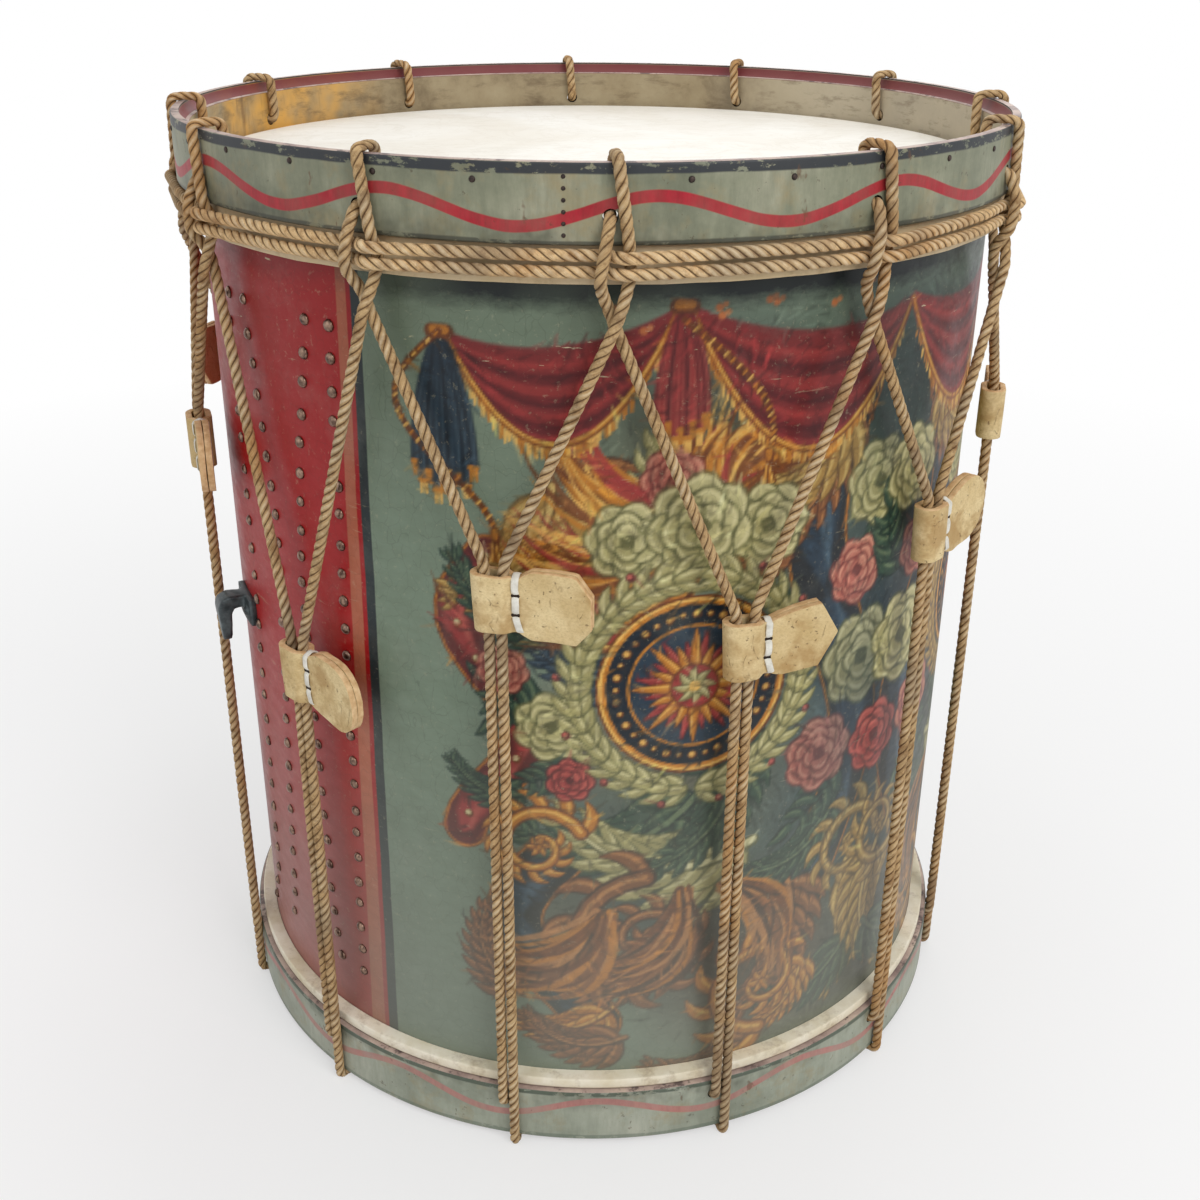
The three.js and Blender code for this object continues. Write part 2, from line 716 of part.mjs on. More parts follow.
// The vent's bush, rolled over inside the shell
function ventShape() {
  const bore = ventBore / 2;
  const tubeOutside = bore + ventWall;
  const flange = ventFlange / 2;
  const outside = shellRadius + fit;
  const inside = shellInside * flatShare - fit;
  return [
    [bore, inside - ventFlangeThickness],
    [flange, inside - ventFlangeThickness],
    [flange, inside],
    [tubeOutside, inside],
    [tubeOutside, outside],
    [flange, outside],
    [flange - ventFlangeThickness / 2, outside + ventFlangeThickness],
    [bore, outside + ventFlangeThickness],
  ];
}
const vent = turned(ventShape(), ventSides).rotateX(rightAngle).translate(0, 0, ventZ);
add(drum, "vent_bush", vent.rotateZ(ventAngle), brass());

// The least gap between the turns of the drag rope, measured between points of its middle line that are
// further apart along it than a bend reaches
function leastGap(line, diameter) {
  const along = [0];
  line.slice(1).forEach((p, i) => along.push(along[i] + p.distanceTo(line[i])));
  let least = Infinity;
  const step = new THREE.Line3();
  const near = new THREE.Vector3();
  for (let i = 0; i < line.length - 1; i++) {
    step.set(line[i], line[i + 1]);
    line.forEach((p, j) => {
      const apart = Math.min(Math.abs(along[j] - along[i]), Math.abs(along[j] - along[i + 1]));
      if (apart < dragEnd) return;
      least = Math.min(least, step.closestPointToPoint(p, true, near).distanceTo(p));
    });
  }
  return least - diameter;
}
console.log("least gap of the drag rope to itself:", leastGap(dragLine, dragRope).toFixed(2), "mm");

export default drum;
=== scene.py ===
import math
import random

import bmesh
import bpy
import numpy as np
from mathutils import Matrix, Vector


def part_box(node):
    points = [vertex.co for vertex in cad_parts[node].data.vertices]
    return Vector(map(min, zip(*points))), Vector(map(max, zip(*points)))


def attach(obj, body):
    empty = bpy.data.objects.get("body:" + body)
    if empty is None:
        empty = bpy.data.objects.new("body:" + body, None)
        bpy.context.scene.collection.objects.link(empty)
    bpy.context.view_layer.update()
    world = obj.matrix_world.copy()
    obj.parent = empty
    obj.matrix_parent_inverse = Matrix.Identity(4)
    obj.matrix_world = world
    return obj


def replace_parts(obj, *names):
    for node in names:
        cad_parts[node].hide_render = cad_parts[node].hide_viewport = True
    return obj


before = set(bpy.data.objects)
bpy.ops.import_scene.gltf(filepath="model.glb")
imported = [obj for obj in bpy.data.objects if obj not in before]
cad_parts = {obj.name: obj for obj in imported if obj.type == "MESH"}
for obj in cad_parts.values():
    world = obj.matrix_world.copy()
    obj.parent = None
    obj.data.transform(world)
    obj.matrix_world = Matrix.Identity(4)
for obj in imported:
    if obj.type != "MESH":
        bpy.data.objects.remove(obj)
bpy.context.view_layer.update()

MM = 0.001
TURN = 2 * math.pi

# Sizes read from the frame, in millimetres


def box_mm(node):
    low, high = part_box(node)
    return low / MM, high / MM


def outer_radius(node):
    return box_mm(node)[1].x


SHELL_R = outer_radius("shell")
SHELL_FOOT = box_mm("shell")[0].z
SHELL_TOP = box_mm("shell")[1].z
HOOP_R = outer_radius("upper_counter_hoop")
HOOP_WALL = 13
HOOP_INSIDE = HOOP_R - HOOP_WALL
HOOP_MIDDLE = (HOOP_R + HOOP_INSIDE) / 2  # two lengths of rope meet here, inside a hole
FOOT = box_mm("lower_counter_hoop")[0].z
LOWER_HOOP_TOP = box_mm("lower_counter_hoop")[1].z
HOOP_HEIGHT = LOWER_HOOP_TOP - FOOT
UPPER_HOOP_FOOT = box_mm("upper_counter_hoop")[0].z
RIM = box_mm("upper_counter_hoop")[1].z
LAP_R = outer_radius("upper_head_skin")
RING_SLACK = 3.0
RING_HEIGHTS = {
    "upper": UPPER_HOOP_FOOT - box_mm("upper_head_skin")[0].z + RING_SLACK,
    "lower": box_mm("lower_head_skin")[1].z - LOWER_HOOP_TOP,
}
HEAD_RECESS = RIM - box_mm("upper_head_skin")[1].z
SKIN = 1.0
HOOP_ROUND = 1.5
SHELL_EDGE, SHELL_EASE = 5, 1.5  # its blunted top edge: how far it reaches, and how far in its middle is

# Sizes of the lacing, as the solids have them
FIT = 0.3
ROPE = 8.0
DRAG_ROPE = 8.0
ROPE_COUNT = 12
TIGHT_BEND = 5.0
EASY_BEND = 14.0
PLAIN_CORNER = math.radians(2)
STRAND_R = HOOP_R + FIT + ROPE / 2
INNER_STRAND_R = HOOP_INSIDE * math.cos(math.pi / 48) - FIT - ROPE / 2
OVER_RIM = FIT + ROPE / 2
HOLE = 9.6
HOLE_SIDES = 24
UPPER_HOLE_Z = RIM - 0.646 * HOOP_HEIGHT
LOWER_HOLE_Z = FOOT + 0.729 * HOOP_HEIGHT
FIRST_TOP = math.radians(-176)
SECTOR = TURN / ROPE_COUNT
HOLE_DRIFTS = (0.9, 1.5, 2.5, 0, 0, -0.4, -1.9, -0.5, 0, 0, 1, 0.6)
TUG_DRIFT = math.radians(-0.7)
TOP_HOLE_ASIDE = -3.0
PAIR_HALF = 4.35
MOUTH_HALF = 6.5
MOUTH_RISE = 6.0
TUG_HEIGHT = 41.0
LEATHER = 5.0
BORE_EASE = 0.8
PLY_GAP = 0.3
LACE_PLACE = 15.5
LACE_WIDTH = 4.0
TUG_LENGTH = 83.0
TAB_HEIGHT = 49.0


def top_angle(k):
    return FIRST_TOP + k * SECTOR + math.radians(HOLE_DRIFTS[k % ROPE_COUNT])


def tug_angle(k):
    return FIRST_TOP + (k + 0.5) * SECTOR + TUG_DRIFT


def tug_height(k):
    low, high = box_mm(f"tug_lace_{k + 1:02d}")
    return (low.z + high.z) / 2


def polar(radius, angle, z):
    """A point in metres. Angle 0 is at the front, and grows towards +X."""
    return Vector((radius * math.sin(angle), -radius * math.cos(angle), z)) * MM


# Meshes


def placed(name, data):
    obj = bpy.data.objects.new(name, data)
    bpy.context.scene.collection.objects.link(obj)
    return obj


def mesh_object(name, verts, faces, materials):
    mesh = bpy.data.meshes.new(name)
    mesh.from_pydata([tuple(v) for v in verts], [], faces)
    for material in materials:
        mesh.materials.append(material)
    mesh.polygons.foreach_set("use_smooth", [True] * len(mesh.polygons))
    mesh.update()
    return placed(name, mesh)


def grid_faces(rows, columns, closed_rows=False, closed_columns=False):
    faces = []
    for i in range(rows if closed_rows else rows - 1):
        for j in range(columns if closed_columns else columns - 1):
            a, b = i * columns + j, i * columns + (j + 1) % columns
            c, d = ((i + 1) % rows) * columns + (j + 1) % columns, ((i + 1) % rows) * columns + j
            faces.append((a, b, c, d))
    return faces


def lathe(name, profile, segments, materials):
    """A closed profile of (radius, z) pairs in millimetres, turned about Z. It runs up the outside."""
    verts = [polar(r, TURN * i / segments, z) for i in range(segments) for r, z in profile]
    faces = grid_faces(segments, len(profile), closed_rows=True, closed_columns=True)
    return mesh_object(name, verts, faces, materials)


def quarter(steps):
    return np.linspace(0, math.pi / 2, steps)


def modify(obj, name, kind, **settings):
    modifier = obj.modifiers.new(name, kind)
    for key, value in settings.items():
        setattr(modifier, key, value)


def apply_modifiers(obj):
    bpy.context.view_layer.update()
    graph = bpy.context.evaluated_depsgraph_get()
    mesh = bpy.data.meshes.new_from_object(obj.evaluated_get(graph))
    obj.modifiers.clear()
    obj.data = mesh


def far_out(polygon):
    """How far a polygon's middle is from the axis, in millimetres."""
    return math.hypot(*polygon.center.xy) / MM


def split_sharp(obj, degrees):
    """Splits the edges that turn by more than the degrees, so that each side is shaded alone."""
    modify(obj, "sharp", "EDGE_SPLIT", split_angle=math.radians(degrees))
    apply_modifiers(obj)


DOME_SIDES = 10


def domes(name, places, rings, material):
    """Domed heads on the drum, each at (radius of the wall, angle, z, size)."""
    top = (len(rings) - 1) * DOME_SIDES
    dome = grid_faces(len(rings), DOME_SIDES, closed_columns=True)
    dome += [range(top, top + DOME_SIDES), range(DOME_SIDES - 1, -1, -1)]
    verts, faces = [], []
    for wall, angle, z, size in places:
        faces += [tuple(len(verts) + i for i in face) for face in dome]
        for share, height in rings:
            for i in range(DOME_SIDES):
                a = TURN * i / DOME_SIDES
                turn = angle + size * share * math.cos(a) / wall
                verts.append(polar(wall + height * size, turn, z + size * share * math.sin(a)))
    obj = mesh_object(name, verts, faces, [material])
    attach(obj, "drum")


# Materials


class Nodes:
    """Short words for building a material's nodes. Its colour is what is laid so far."""

    def __init__(self, name):
        self.material = bpy.data.materials.new(name)
        self.material.use_nodes = True
        self.tree = self.material.node_tree
        self.shader = self.tree.nodes["Principled BSDF"]
        self.place = self.add("TexCoord").outputs["Object"]
        self.colour = None

    def add(self, kind, **settings):
        node = self.tree.nodes.new("ShaderNode" + kind)
        for key, value in settings.items():
            if hasattr(node, key):
                setattr(node, key, value)
            else:
                node.inputs[key.replace("_", " ")].default_value = value
        return node

    def link(self, a, b):
        self.tree.links.new(a, b)

    def feed(self, slot, value):
        """Gives an input a number, a colour or another node's output."""
        if isinstance(value, (int, float)):
            slot.default_value = value
        elif isinstance(value, tuple):
            slot.default_value = (*value, 1)
        else:
            self.link(value, slot)

    def math(self, operation, a, b=0.0):
        node = self.add("Math", operation=operation)
        self.feed(node.inputs[0], a)
        self.feed(node.inputs[1], b)
        return node.outputs["Value"]

    def times(self, a, b):
        return self.math("MULTIPLY", a, b)

    def plus(self, a, b):
        return self.math("ADD", a, b)

    def minus(self, a, b):
        return self.math("SUBTRACT", a, b)

    def around(self):
        """The angle from the front and the height."""
        separate = self.add("SeparateXYZ")
        self.link(self.place, separate.inputs[0])
        x, y, z = separate.outputs
        return self.math("ARCTAN2", x, self.times(y, -1.0)), z

    def scaled(self, vector, scale):
        node = self.add("Mapping", Scale=scale)
        self.link(vector, node.inputs["Vector"])
        return node.outputs["Vector"]

    def texture(self, kind, output, at, **settings):
        node = self.add("Tex" + kind, **settings)
        self.link(at, node.inputs["Vector"])
        return node.outputs[output]

    def warped(self, vector, scale, amount):
        """Moves a place about by a noise, so that a pattern on it runs unevenly."""
        steps = ("SUBTRACT", "SCALE", "ADD")
        centred, spread, total = (self.add("VectorMath", operation=step) for step in steps)
        self.link(self.texture("Noise", "Color", vector, Scale=scale, Detail=3.0), centred.inputs[0])
        centred.inputs[1].default_value = (0.5, 0.5, 0.5)
        self.link(centred.outputs[0], spread.inputs[0])
        spread.inputs["Scale"].default_value = amount
        self.link(vector, total.inputs[0])
        self.link(spread.outputs[0], total.inputs[1])
        return total.outputs[0]

    def noise(self, scale, detail=4.0, roughness=0.6, distortion=0.0, stretch=None, at=None):
        if at is None:
            at = self.scaled(self.place, stretch) if stretch else self.place
        return self.texture("Noise", "Fac", at, Scale=scale, Detail=detail, Roughness=roughness,
                            Distortion=distortion)

    def cells(self, scale, stretch, warp_scale, warp):
        """How far a place is from the edge of its uneven cell."""
        at = self.warped(self.scaled(self.place, stretch), warp_scale, warp)
        return self.texture("Voronoi", "Distance", at, feature="DISTANCE_TO_EDGE", Scale=scale)

    def ramp(self, value, stops):
        """stops are (place, colour or grey) pairs."""
        node = self.add("ValToRGB")
        elements = node.color_ramp.elements
        elements.remove(elements[-1])
        for i, (place, colour) in enumerate(stops):
            element = elements[0] if i == 0 else elements.new(place)
            element.position = place
            grey = isinstance(colour, (int, float))
            element.color = (colour, colour, colour, 1) if grey else (*colour, 1)
        self.link(value, node.inputs["Fac"])
        return node.outputs["Color"]

    def spots(self, scale, start, end, strength, detail=4.0, stretch=None):
        """A mask where a noise passes from start to end."""
        return self.ramp(self.noise(scale, detail, 0.7, stretch=stretch), [(start, 0.0), (end, strength)])

    def mix(self, factor, a, b, blend="MIX"):
        node = self.add("Mix", data_type="RGBA", blend_type=blend)
        for value, name, kind in ((factor, "Factor", "VALUE"), (a, "A", "RGBA"), (b, "B", "RGBA")):
            self.feed([s for s in node.inputs if (s.name, s.type) == (name, kind)][0], value)
        return [s for s in node.outputs if s.type == "RGBA"][0]

    def lay(self, mask, tone):
        """Lays a tone over the colour so far."""
        self.colour = self.mix(mask, self.colour, tone)

    def specks(self, tone, *mask, **how):
        self.lay(self.spots(*mask, **how), tone)

    def above(self, value, limit, softness):
        node = self.add("Clamp")
        edge = self.math("DIVIDE", self.minus(value, limit), softness)
        self.link(self.plus(edge, 0.5), node.inputs["Value"])
        return node.outputs["Result"]

    def band(self, value, centre, half_width, softness):
        """1 within half_width of centre, 0 outside, with a soft edge."""
        apart = self.math("ABSOLUTE", self.minus(value, centre))
        return self.minus(1.0, self.above(apart, half_width, softness))

    def bump(self, height, distance, strength=1.0):
        node = self.add("Bump", Strength=strength, Distance=distance)
        self.link(height, node.inputs["Height"])
        return node.outputs["Normal"]

    def finish(self, roughness, normal=None, metallic=0.0, **fixed):
        inputs = self.shader.inputs
        self.feed(inputs["Base Color"], self.colour)
        self.feed(inputs["Roughness"], roughness)
        inputs["Metallic"].default_value = metallic
        if normal is not None:
            self.link(normal, inputs["Normal"])
        for key, value in fixed.items():
            inputs[key.replace("_", " ")].default_value = value
        return self.material


def rgb(r, g, b):
    """A colour as it looks on a screen, 0 to 255, in the linear values that a shader takes."""
    return tuple((c / 255) ** 2.2 for c in (r, g, b))


def rope_material(name, pale, mid, dark):
    n = Nodes(name)
    fibre = n.noise(1.0, 3.0, at=n.scaled(n.add("UVMap").outputs["UV"], (40, 90, 1)))
    n.colour = n.ramp(fibre, [(0.3, mid), (0.68, pale)])
    n.specks(dark, 60.0, 0.5, 0.7, 0.7)
    n.specks(dark, 170.0, 0.5, 0.62, 0.45)
    n.specks(rgb(176, 122, 66), 5.0, 0.52, 0.6, 0.45)
    n.specks(rgb(138, 120, 98), 9.0, 0.5, 0.6, 0.6)
    groove = n.add("Attribute", attribute_name="groove").outputs["Fac"]
    # Painted highlight: a pale tone here and there on the strands' crowns.
    crest_highlight = n.times(n.ramp(groove, [(0.0, 0.55), (0.16, 0.0)]), n.spots(26.0, 0.42, 0.58, 1.0))
    n.lay(crest_highlight, rgb(236, 218, 184))
    # Painted shade: darker in the grooves between the strands.
    n.lay(n.ramp(groove, [(0.25, 0.0), (0.9, 0.85)]), rgb(78, 52, 32))
    return n.finish(0.85, n.bump(fibre, 0.0007, 0.9), Specular_IOR_Level=0.25)


def leather_material(name, pale, mid):
    n = Nodes(name)
    n.colour = n.ramp(n.noise(26.0, 6.0, 0.65), [(0.32, mid), (0.62, pale)])
    grain = n.noise(520.0, 3.0, 0.7, stretch=(1, 1, 1.6))
    n.lay(n.ramp(grain, [(0.45, 0.0), (0.75, 0.4)]), rgb(150, 122, 80))
    n.specks(rgb(178, 146, 92), 3.0, 0.42, 0.62, 0.5, 1.0)
    n.specks(rgb(166, 130, 80), 24.0, 0.48, 0.62, 0.7)
    crack = n.cells(46.0, (1.5, 1.5, 0.8), 60.0, 0.016)
    cracks = n.times(n.ramp(crack, [(0.0, 1.0), (0.03, 0.0)]), n.spots(34.0, 0.54, 0.62, 1.0))
    n.lay(n.times(cracks, 0.4), rgb(104, 76, 44))
    pits = n.spots(260.0, 0.66, 0.72, 1.0, 2.0)
    n.lay(n.times(pits, 0.55), rgb(92, 64, 38))
    height = n.minus(n.times(grain, 0.3), n.plus(cracks, pits))
    return n.finish(0.72, n.bump(height, 0.0007, 0.8), Specular_IOR_Level=0.3)


def plain_material(name, low, high, scale, roughness, relief=0.0004, metallic=0.0, stretch=(1, 1, 1)):
    """Two tones of one stuff, mixed by a noise that is its relief too."""
    n = Nodes(name)
    grain = n.noise(scale, 5.0, stretch=stretch)
    n.colour = n.ramp(grain, [(0.32, low), (0.68, high)])
    return n.finish(roughness, n.bump(grain, relief, 0.6), metallic)


def skin_material():
    n = Nodes("calfskin")
    n.colour = n.ramp(n.noise(5.0, 5.0, 0.6, 0.8), [(0.3, rgb(225, 218, 204)), (0.6, rgb(240, 237, 229))])
    streaks = n.noise(16.0, 7.0, 0.7, stretch=(1, 5, 1))
    n.lay(n.ramp(streaks, [(0.5, 0.0), (0.76, 0.4)]), rgb(212, 206, 192))
    veins = n.noise(14.0, 8.0, 0.7, 1.6)
    n.lay(n.ramp(veins, [(0.47, 0.0), (0.5, 0.2), (0.53, 0.0)]), rgb(196, 186, 166))
    return n.finish(0.55, n.bump(n.noise(300.0, 3.0), 0.0002, 0.4), Specular_IOR_Level=0.35)


def lap_material():
    n = Nodes("lapped calfskin")
    _, z = n.around()
    n.colour = n.ramp(n.noise(24.0, 5.0), [(0.3, rgb(214, 200, 166)), (0.6, rgb(240, 232, 212))])
    # Painted shade: the upper ring, which sits under its hoop and the drag rope, is darker than the lower.
    n.lay(n.times(n.above(z, 0.4, 0.1), 0.75), rgb(190, 162, 116))
    n.specks(rgb(140, 114, 78), 60.0, 0.52, 0.78, 0.6)
    # Dirt and painted shade in a thin line along the lower ring's foot, where it meets its hoop.
    grime = n.band(z, (LOWER_HOOP_TOP + 0.6) * MM, 0.0008, 0.001)
    n.lay(n.times(grime, 0.8), rgb(110, 84, 54))
    return n.finish(0.6, n.bump(n.noise(160.0), 0.0006, 0.6))


# Of each hoop's paint: its tones, the red of its wavy line, the wave's phase, middle, reach, half width,
# and least and most cover, and for the dark line at each edge its middle, half width, strength and colour
WAVES = 12
HOOP_PAINTS = {
    "upper": {
        "tones": (rgb(98, 102, 84), rgb(136, 138, 116), rgb(164, 162, 140)),
        "red": (rgb(136, 16, 32), rgb(172, 28, 46)),
        "wave": (math.radians(6.4), 0.0280, 0.0088, 0.0037, 0.8, 1.0),
        "near": (0.0032, 0.0034, 0.95, rgb(36, 40, 48)),
        "far": (0.0465, 0.0016, 0.75, rgb(52, 52, 46)),
    },
    "lower": {
        "tones": (rgb(124, 130, 114), rgb(156, 161, 145), rgb(176, 178, 162)),
        "red": (rgb(164, 96, 94), rgb(186, 120, 114)),
        "wave": (math.radians(16), 0.0310, 0.0088, 0.0032, 0.5, 0.9),
        "near": (0.0022, 0.0024, 0.45, rgb(74, 92, 78)),
        "far": (0.0462, 0.0018, 0.85, rgb(70, 80, 68)),
    },
}


def hoop_depth(n, z, place):
    """How far a height is from the hoop's rim."""
    return n.minus(RIM * MM, z) if place == "upper" else n.minus(z, FOOT * MM)


def hoop_outside_material(place):
    """Grey-green paint with a red wavy line and a dark line at each edge."""
    paint = HOOP_PAINTS[place]
    n = Nodes(place + " hoop paint")
    angle, z = n.around()
    wobble = n.times(n.minus(n.noise(14.0, 2.0), 0.5), 0.003)
    depth = n.plus(hoop_depth(n, z, place), wobble)
    phase, middle, reach, half_width, least, most = paint["wave"]
    swing = n.math("COSINE", n.times(n.minus(angle, phase), float(WAVES)))
    wave = n.band(depth, n.minus(middle, n.times(swing, reach)), half_width, 0.0008)

    brush = n.noise(170.0, 5.0, 0.7, stretch=(1, 1, 0.2))
    low, mid, high = paint["tones"]
    n.colour = n.ramp(n.noise(12.0, 6.0, 0.65), [(0.3, low), (0.5, mid), (0.7, high)])
    n.lay(n.ramp(brush, [(0.4, 0.0), (0.75, 0.5)]), low)
    n.specks(rgb(150, 132, 92), 30.0, 0.52, 0.7, 0.5)
    grime = n.times(n.above(depth, 0.034, 0.014), n.spots(16.0, 0.42, 0.62, 0.7))
    n.lay(grime, rgb(70, 72, 58))
    red = n.ramp(brush, [(0.3, paint["red"][0]), (0.65, paint["red"][1])])
    fade = n.ramp(n.noise(40.0, 5.0), [(0.3, most), (0.7, least)])
    n.lay(n.times(wave, fade), red)
    flakes = n.spots(62.0, 0.56, 0.6, 0.85, 6.0, (1, 1, 2))
    for key in ("near", "far"):
        centre, half_width, strength, dark = paint[key]
        line = n.times(n.band(depth, centre, half_width, 0.001), strength)
        n.lay(n.times(line, n.minus(1.0, flakes)), dark)
    n.specks(rgb(74, 58, 42), 150.0, 0.64, 0.69, 0.55)
    n.specks(rgb(96, 66, 44), 46.0, 0.66, 0.7, 0.6, stretch=(1, 1, 0.5))
    return n.finish(0.5, n.bump(brush, 0.0005, 0.5), Specular_IOR_Level=0.4)


def hoop_inside_material(place):
    """Worn buff paint over wood, with a dark red line under the rim."""
    n = Nodes(place + " hoop inside")
    angle, z = n.around()
    depth = hoop_depth(n, z, place)
    mottle = n.noise(12.0, 7.0, 0.7)
    tones = [(0.32, rgb(108, 92, 68)), (0.5, rgb(152, 136, 106)), (0.7, rgb(170, 156, 126))]
    n.colour = n.ramp(mottle, tones)
    left, right = (n.band(angle, *map(math.radians, span)) for span in ((-116, 19, 12), (118, 30, 26)))
    n.lay(n.times(left, n.spots(9.0, 0.36, 0.54, 0.9)), rgb(218, 164, 78))
    n.lay(n.times(right, 0.6), rgb(206, 196, 174))
    runs = n.spots(40.0, 0.54, 0.66, 0.7, stretch=(1, 1, 0.15))
    n.lay(n.times(runs, left), rgb(96, 66, 40))
    n.specks(rgb(96, 78, 56), 26.0, 0.52, 0.68, 0.6, 6.0, (1, 1, 3.5))
    n.lay(n.times(n.band(depth, 0.0052, 0.0040, 0.0008), 0.92), rgb(104, 20, 34))
    n.lay(n.band(depth, 0.0, 0.0010, 0.0006), rgb(40, 30, 32))
    return n.finish(0.6, n.bump(mottle, 0.0006, 0.5))


def rim_material():
    n = Nodes("worn rim")
    worn = n.noise(30.0, 6.0, 0.7)
    n.colour = n.ramp(worn, [(0.3, rgb(120, 100, 96)), (0.5, rgb(170, 148, 138)), (0.7, rgb(196, 176, 160))])
    n.specks(rgb(70, 58, 58), 70.0, 0.54, 0.62, 0.8)
    return n.finish(0.55, n.bump(worn, 0.0006, 0.6))


GROUND_SCREEN = (116, 132, 114)
PANEL_MIDDLE = math.radians(-73)
STRIPE_FOOT, STRIPE_TOP = 0.125, 0.637
# Each colour's reach from the panel's middle, in degrees, at those two heights
STRIPES = (
    (41.7, 43.1, rgb(30, 38, 44)),
    (40.0, 41.7, rgb(160, 4, 20)),
    (39.2, 41.0, rgb(176, 100, 74)),
    (36.6, 39.4, rgb(164, 3, 20)),
)


def shell_material():
    """Old painted work under a dull varnish, its ground and figures in the mesh and its panel drawn here."""
    n = Nodes("painted shell")
    angle, z = n.around()
    brush = n.noise(55.0, 6.0, 0.7, stretch=(1, 1, 2.2))
    up = n.math("DIVIDE", n.minus(z, STRIPE_FOOT), STRIPE_TOP - STRIPE_FOOT)
    uneven = n.times(n.minus(n.noise(11.0, 2.0), 0.5), math.radians(0.5))
    aside = n.plus(n.math("ABSOLUTE", n.minus(angle, PANEL_MIDDLE)), uneven)
    n.colour = n.add("Attribute", attribute_name="paint").outputs["Color"]
    for foot, top, tone in STRIPES:
        reach = n.plus(math.radians(foot), n.times(up, math.radians(top - foot)))
        inside = n.above(n.minus(reach, aside), 0.0, math.radians(0.2))
        n.lay(n.times(inside, 0.96), tone)
    # A darker brown tint of the colour so far: a varnish tint where laid in the brush streaks.
    shade = n.mix(1.0, n.colour, (0.5, 0.47, 0.42), "MULTIPLY")
    n.lay(n.ramp(brush, [(0.35, 0.0), (0.8, 0.36)]), shade)
    # Painted shade: darker towards the top of the shell.
    n.lay(n.times(n.above(z, 0.56, 0.16), 0.45), shade)
    n.specks(rgb(64, 62, 48), 6.0, 0.5, 0.8, 0.25, 6.0)
    n.specks(rgb(168, 170, 156), 9.0, 0.54, 0.78, 0.16, 6.0)
    n.specks(rgb(190, 182, 150), 240.0, 0.6, 0.72, 0.22)
    crack = n.cells(95.0, (1, 1, 0.7), 40.0, 0.02)
    n.lay(n.ramp(crack, [(0.0, 0.2), (0.025, 0.0)]), rgb(38, 32, 26))
    scratches = n.spots(60.0, 0.66, 0.68, 0.7, 6.0, (0.35, 0.35, 3.0))
    high = n.above(z, (SHELL_TOP - 95) * MM, 0.03)
    n.lay(n.times(scratches, n.plus(0.25, high)), rgb(196, 186, 152))
    n.lay(n.times(n.spots(22.0, 0.68, 0.7, 0.9, 6.0), high), rgb(176, 96, 54))
    # Painted shadow: a dark band under the drag rope, weaker on the red panel
    under = n.above(n.plus(z, n.times(brush, 0.016)), (UPPER_HOOP_FOOT - 32) * MM, 0.013)
    under = n.times(under, n.minus(0.95, n.times(inside, 0.6)))
    patchy = n.ramp(n.noise(5.0, 3.0), [(0.36, 0.35), (0.56, 1.0)])
    n.lay(n.times(under, patchy), rgb(14, 20, 26))
    # Paler and greyer towards the foot.
    paler_towards_foot = n.minus(1.0, n.above(z, 0.26, 0.26))
    n.lay(n.times(paler_towards_foot, 0.42), rgb(142, 144, 134))
    height = n.minus(n.times(brush, 0.5), n.times(crack, 0.3))
    rough = n.ramp(brush, [(0.3, 0.34), (0.7, 0.5)])
    return n.finish(rough, n.bump(height, 0.0005, 0.5), Specular_IOR_Level=0.3)


MATERIALS = {
    "rope": rope_material("hemp rope", rgb(212, 182, 136), rgb(172, 134, 90), rgb(112, 78, 48)),
    "drag": rope_material("drag rope", rgb(242, 210, 162), rgb(206, 166, 114), rgb(142, 100, 62)),
    "leather": leather_material("buff leather", rgb(230, 208, 160), rgb(200, 172, 120)),
    "cut": plain_material("cut leather", rgb(192, 150, 102), rgb(230, 196, 150), 160.0, 0.8),
    "lace": plain_material("white lace", rgb(204, 200, 188), rgb(238, 236, 226), 160.0, 0.6),
    "skin": skin_material(),
    "lap": lap_material(),
    "iron": plain_material("old iron", rgb(46, 52, 54), rgb(90, 98, 100), 120.0, 0.42, 0.0005, 0.6),
    "tack": plain_material("bronzed tack", rgb(62, 46, 42), rgb(158, 130, 112), 260.0, 0.28, 0.0003, 0.8),
    "nail": plain_material("dark nail", rgb(34, 28, 28), rgb(74, 60, 54), 300.0, 0.5, 0.0003, 0.5),
    "brass": plain_material("dull brass", rgb(120, 92, 50), rgb(175, 140, 80), 200.0, 0.4, 0.0003, 0.9),
    "wood": plain_material("bare ash", rgb(140, 100, 58), rgb(196, 158, 104), 6.0, 0.7, 0.0005,
                           stretch=(4, 4, 60)),
    # Dark brown: bare wood with painted shade in the hoops' bores, and painted shade at the mouths of the
    # thong's holes.
    "hole": plain_material("hole shade", rgb(26, 18, 12), rgb(52, 36, 24), 120.0, 0.9),
    "upper_out": hoop_outside_material("upper"),
    "lower_out": hoop_outside_material("lower"),
    "upper_in": hoop_inside_material("upper"),
    "lower_in": hoop_inside_material("lower"),
    "rim": rim_material(),
    "shell": shell_material(),
}

# Ropes


def stop(angle, aside, radius, z, bend=EASY_BEND):
    turn = angle + aside / STRAND_R
    return np.array((radius * math.sin(turn), -radius * math.cos(turn), z)), bend


def unit(v):
    return v / np.linalg.norm(v)


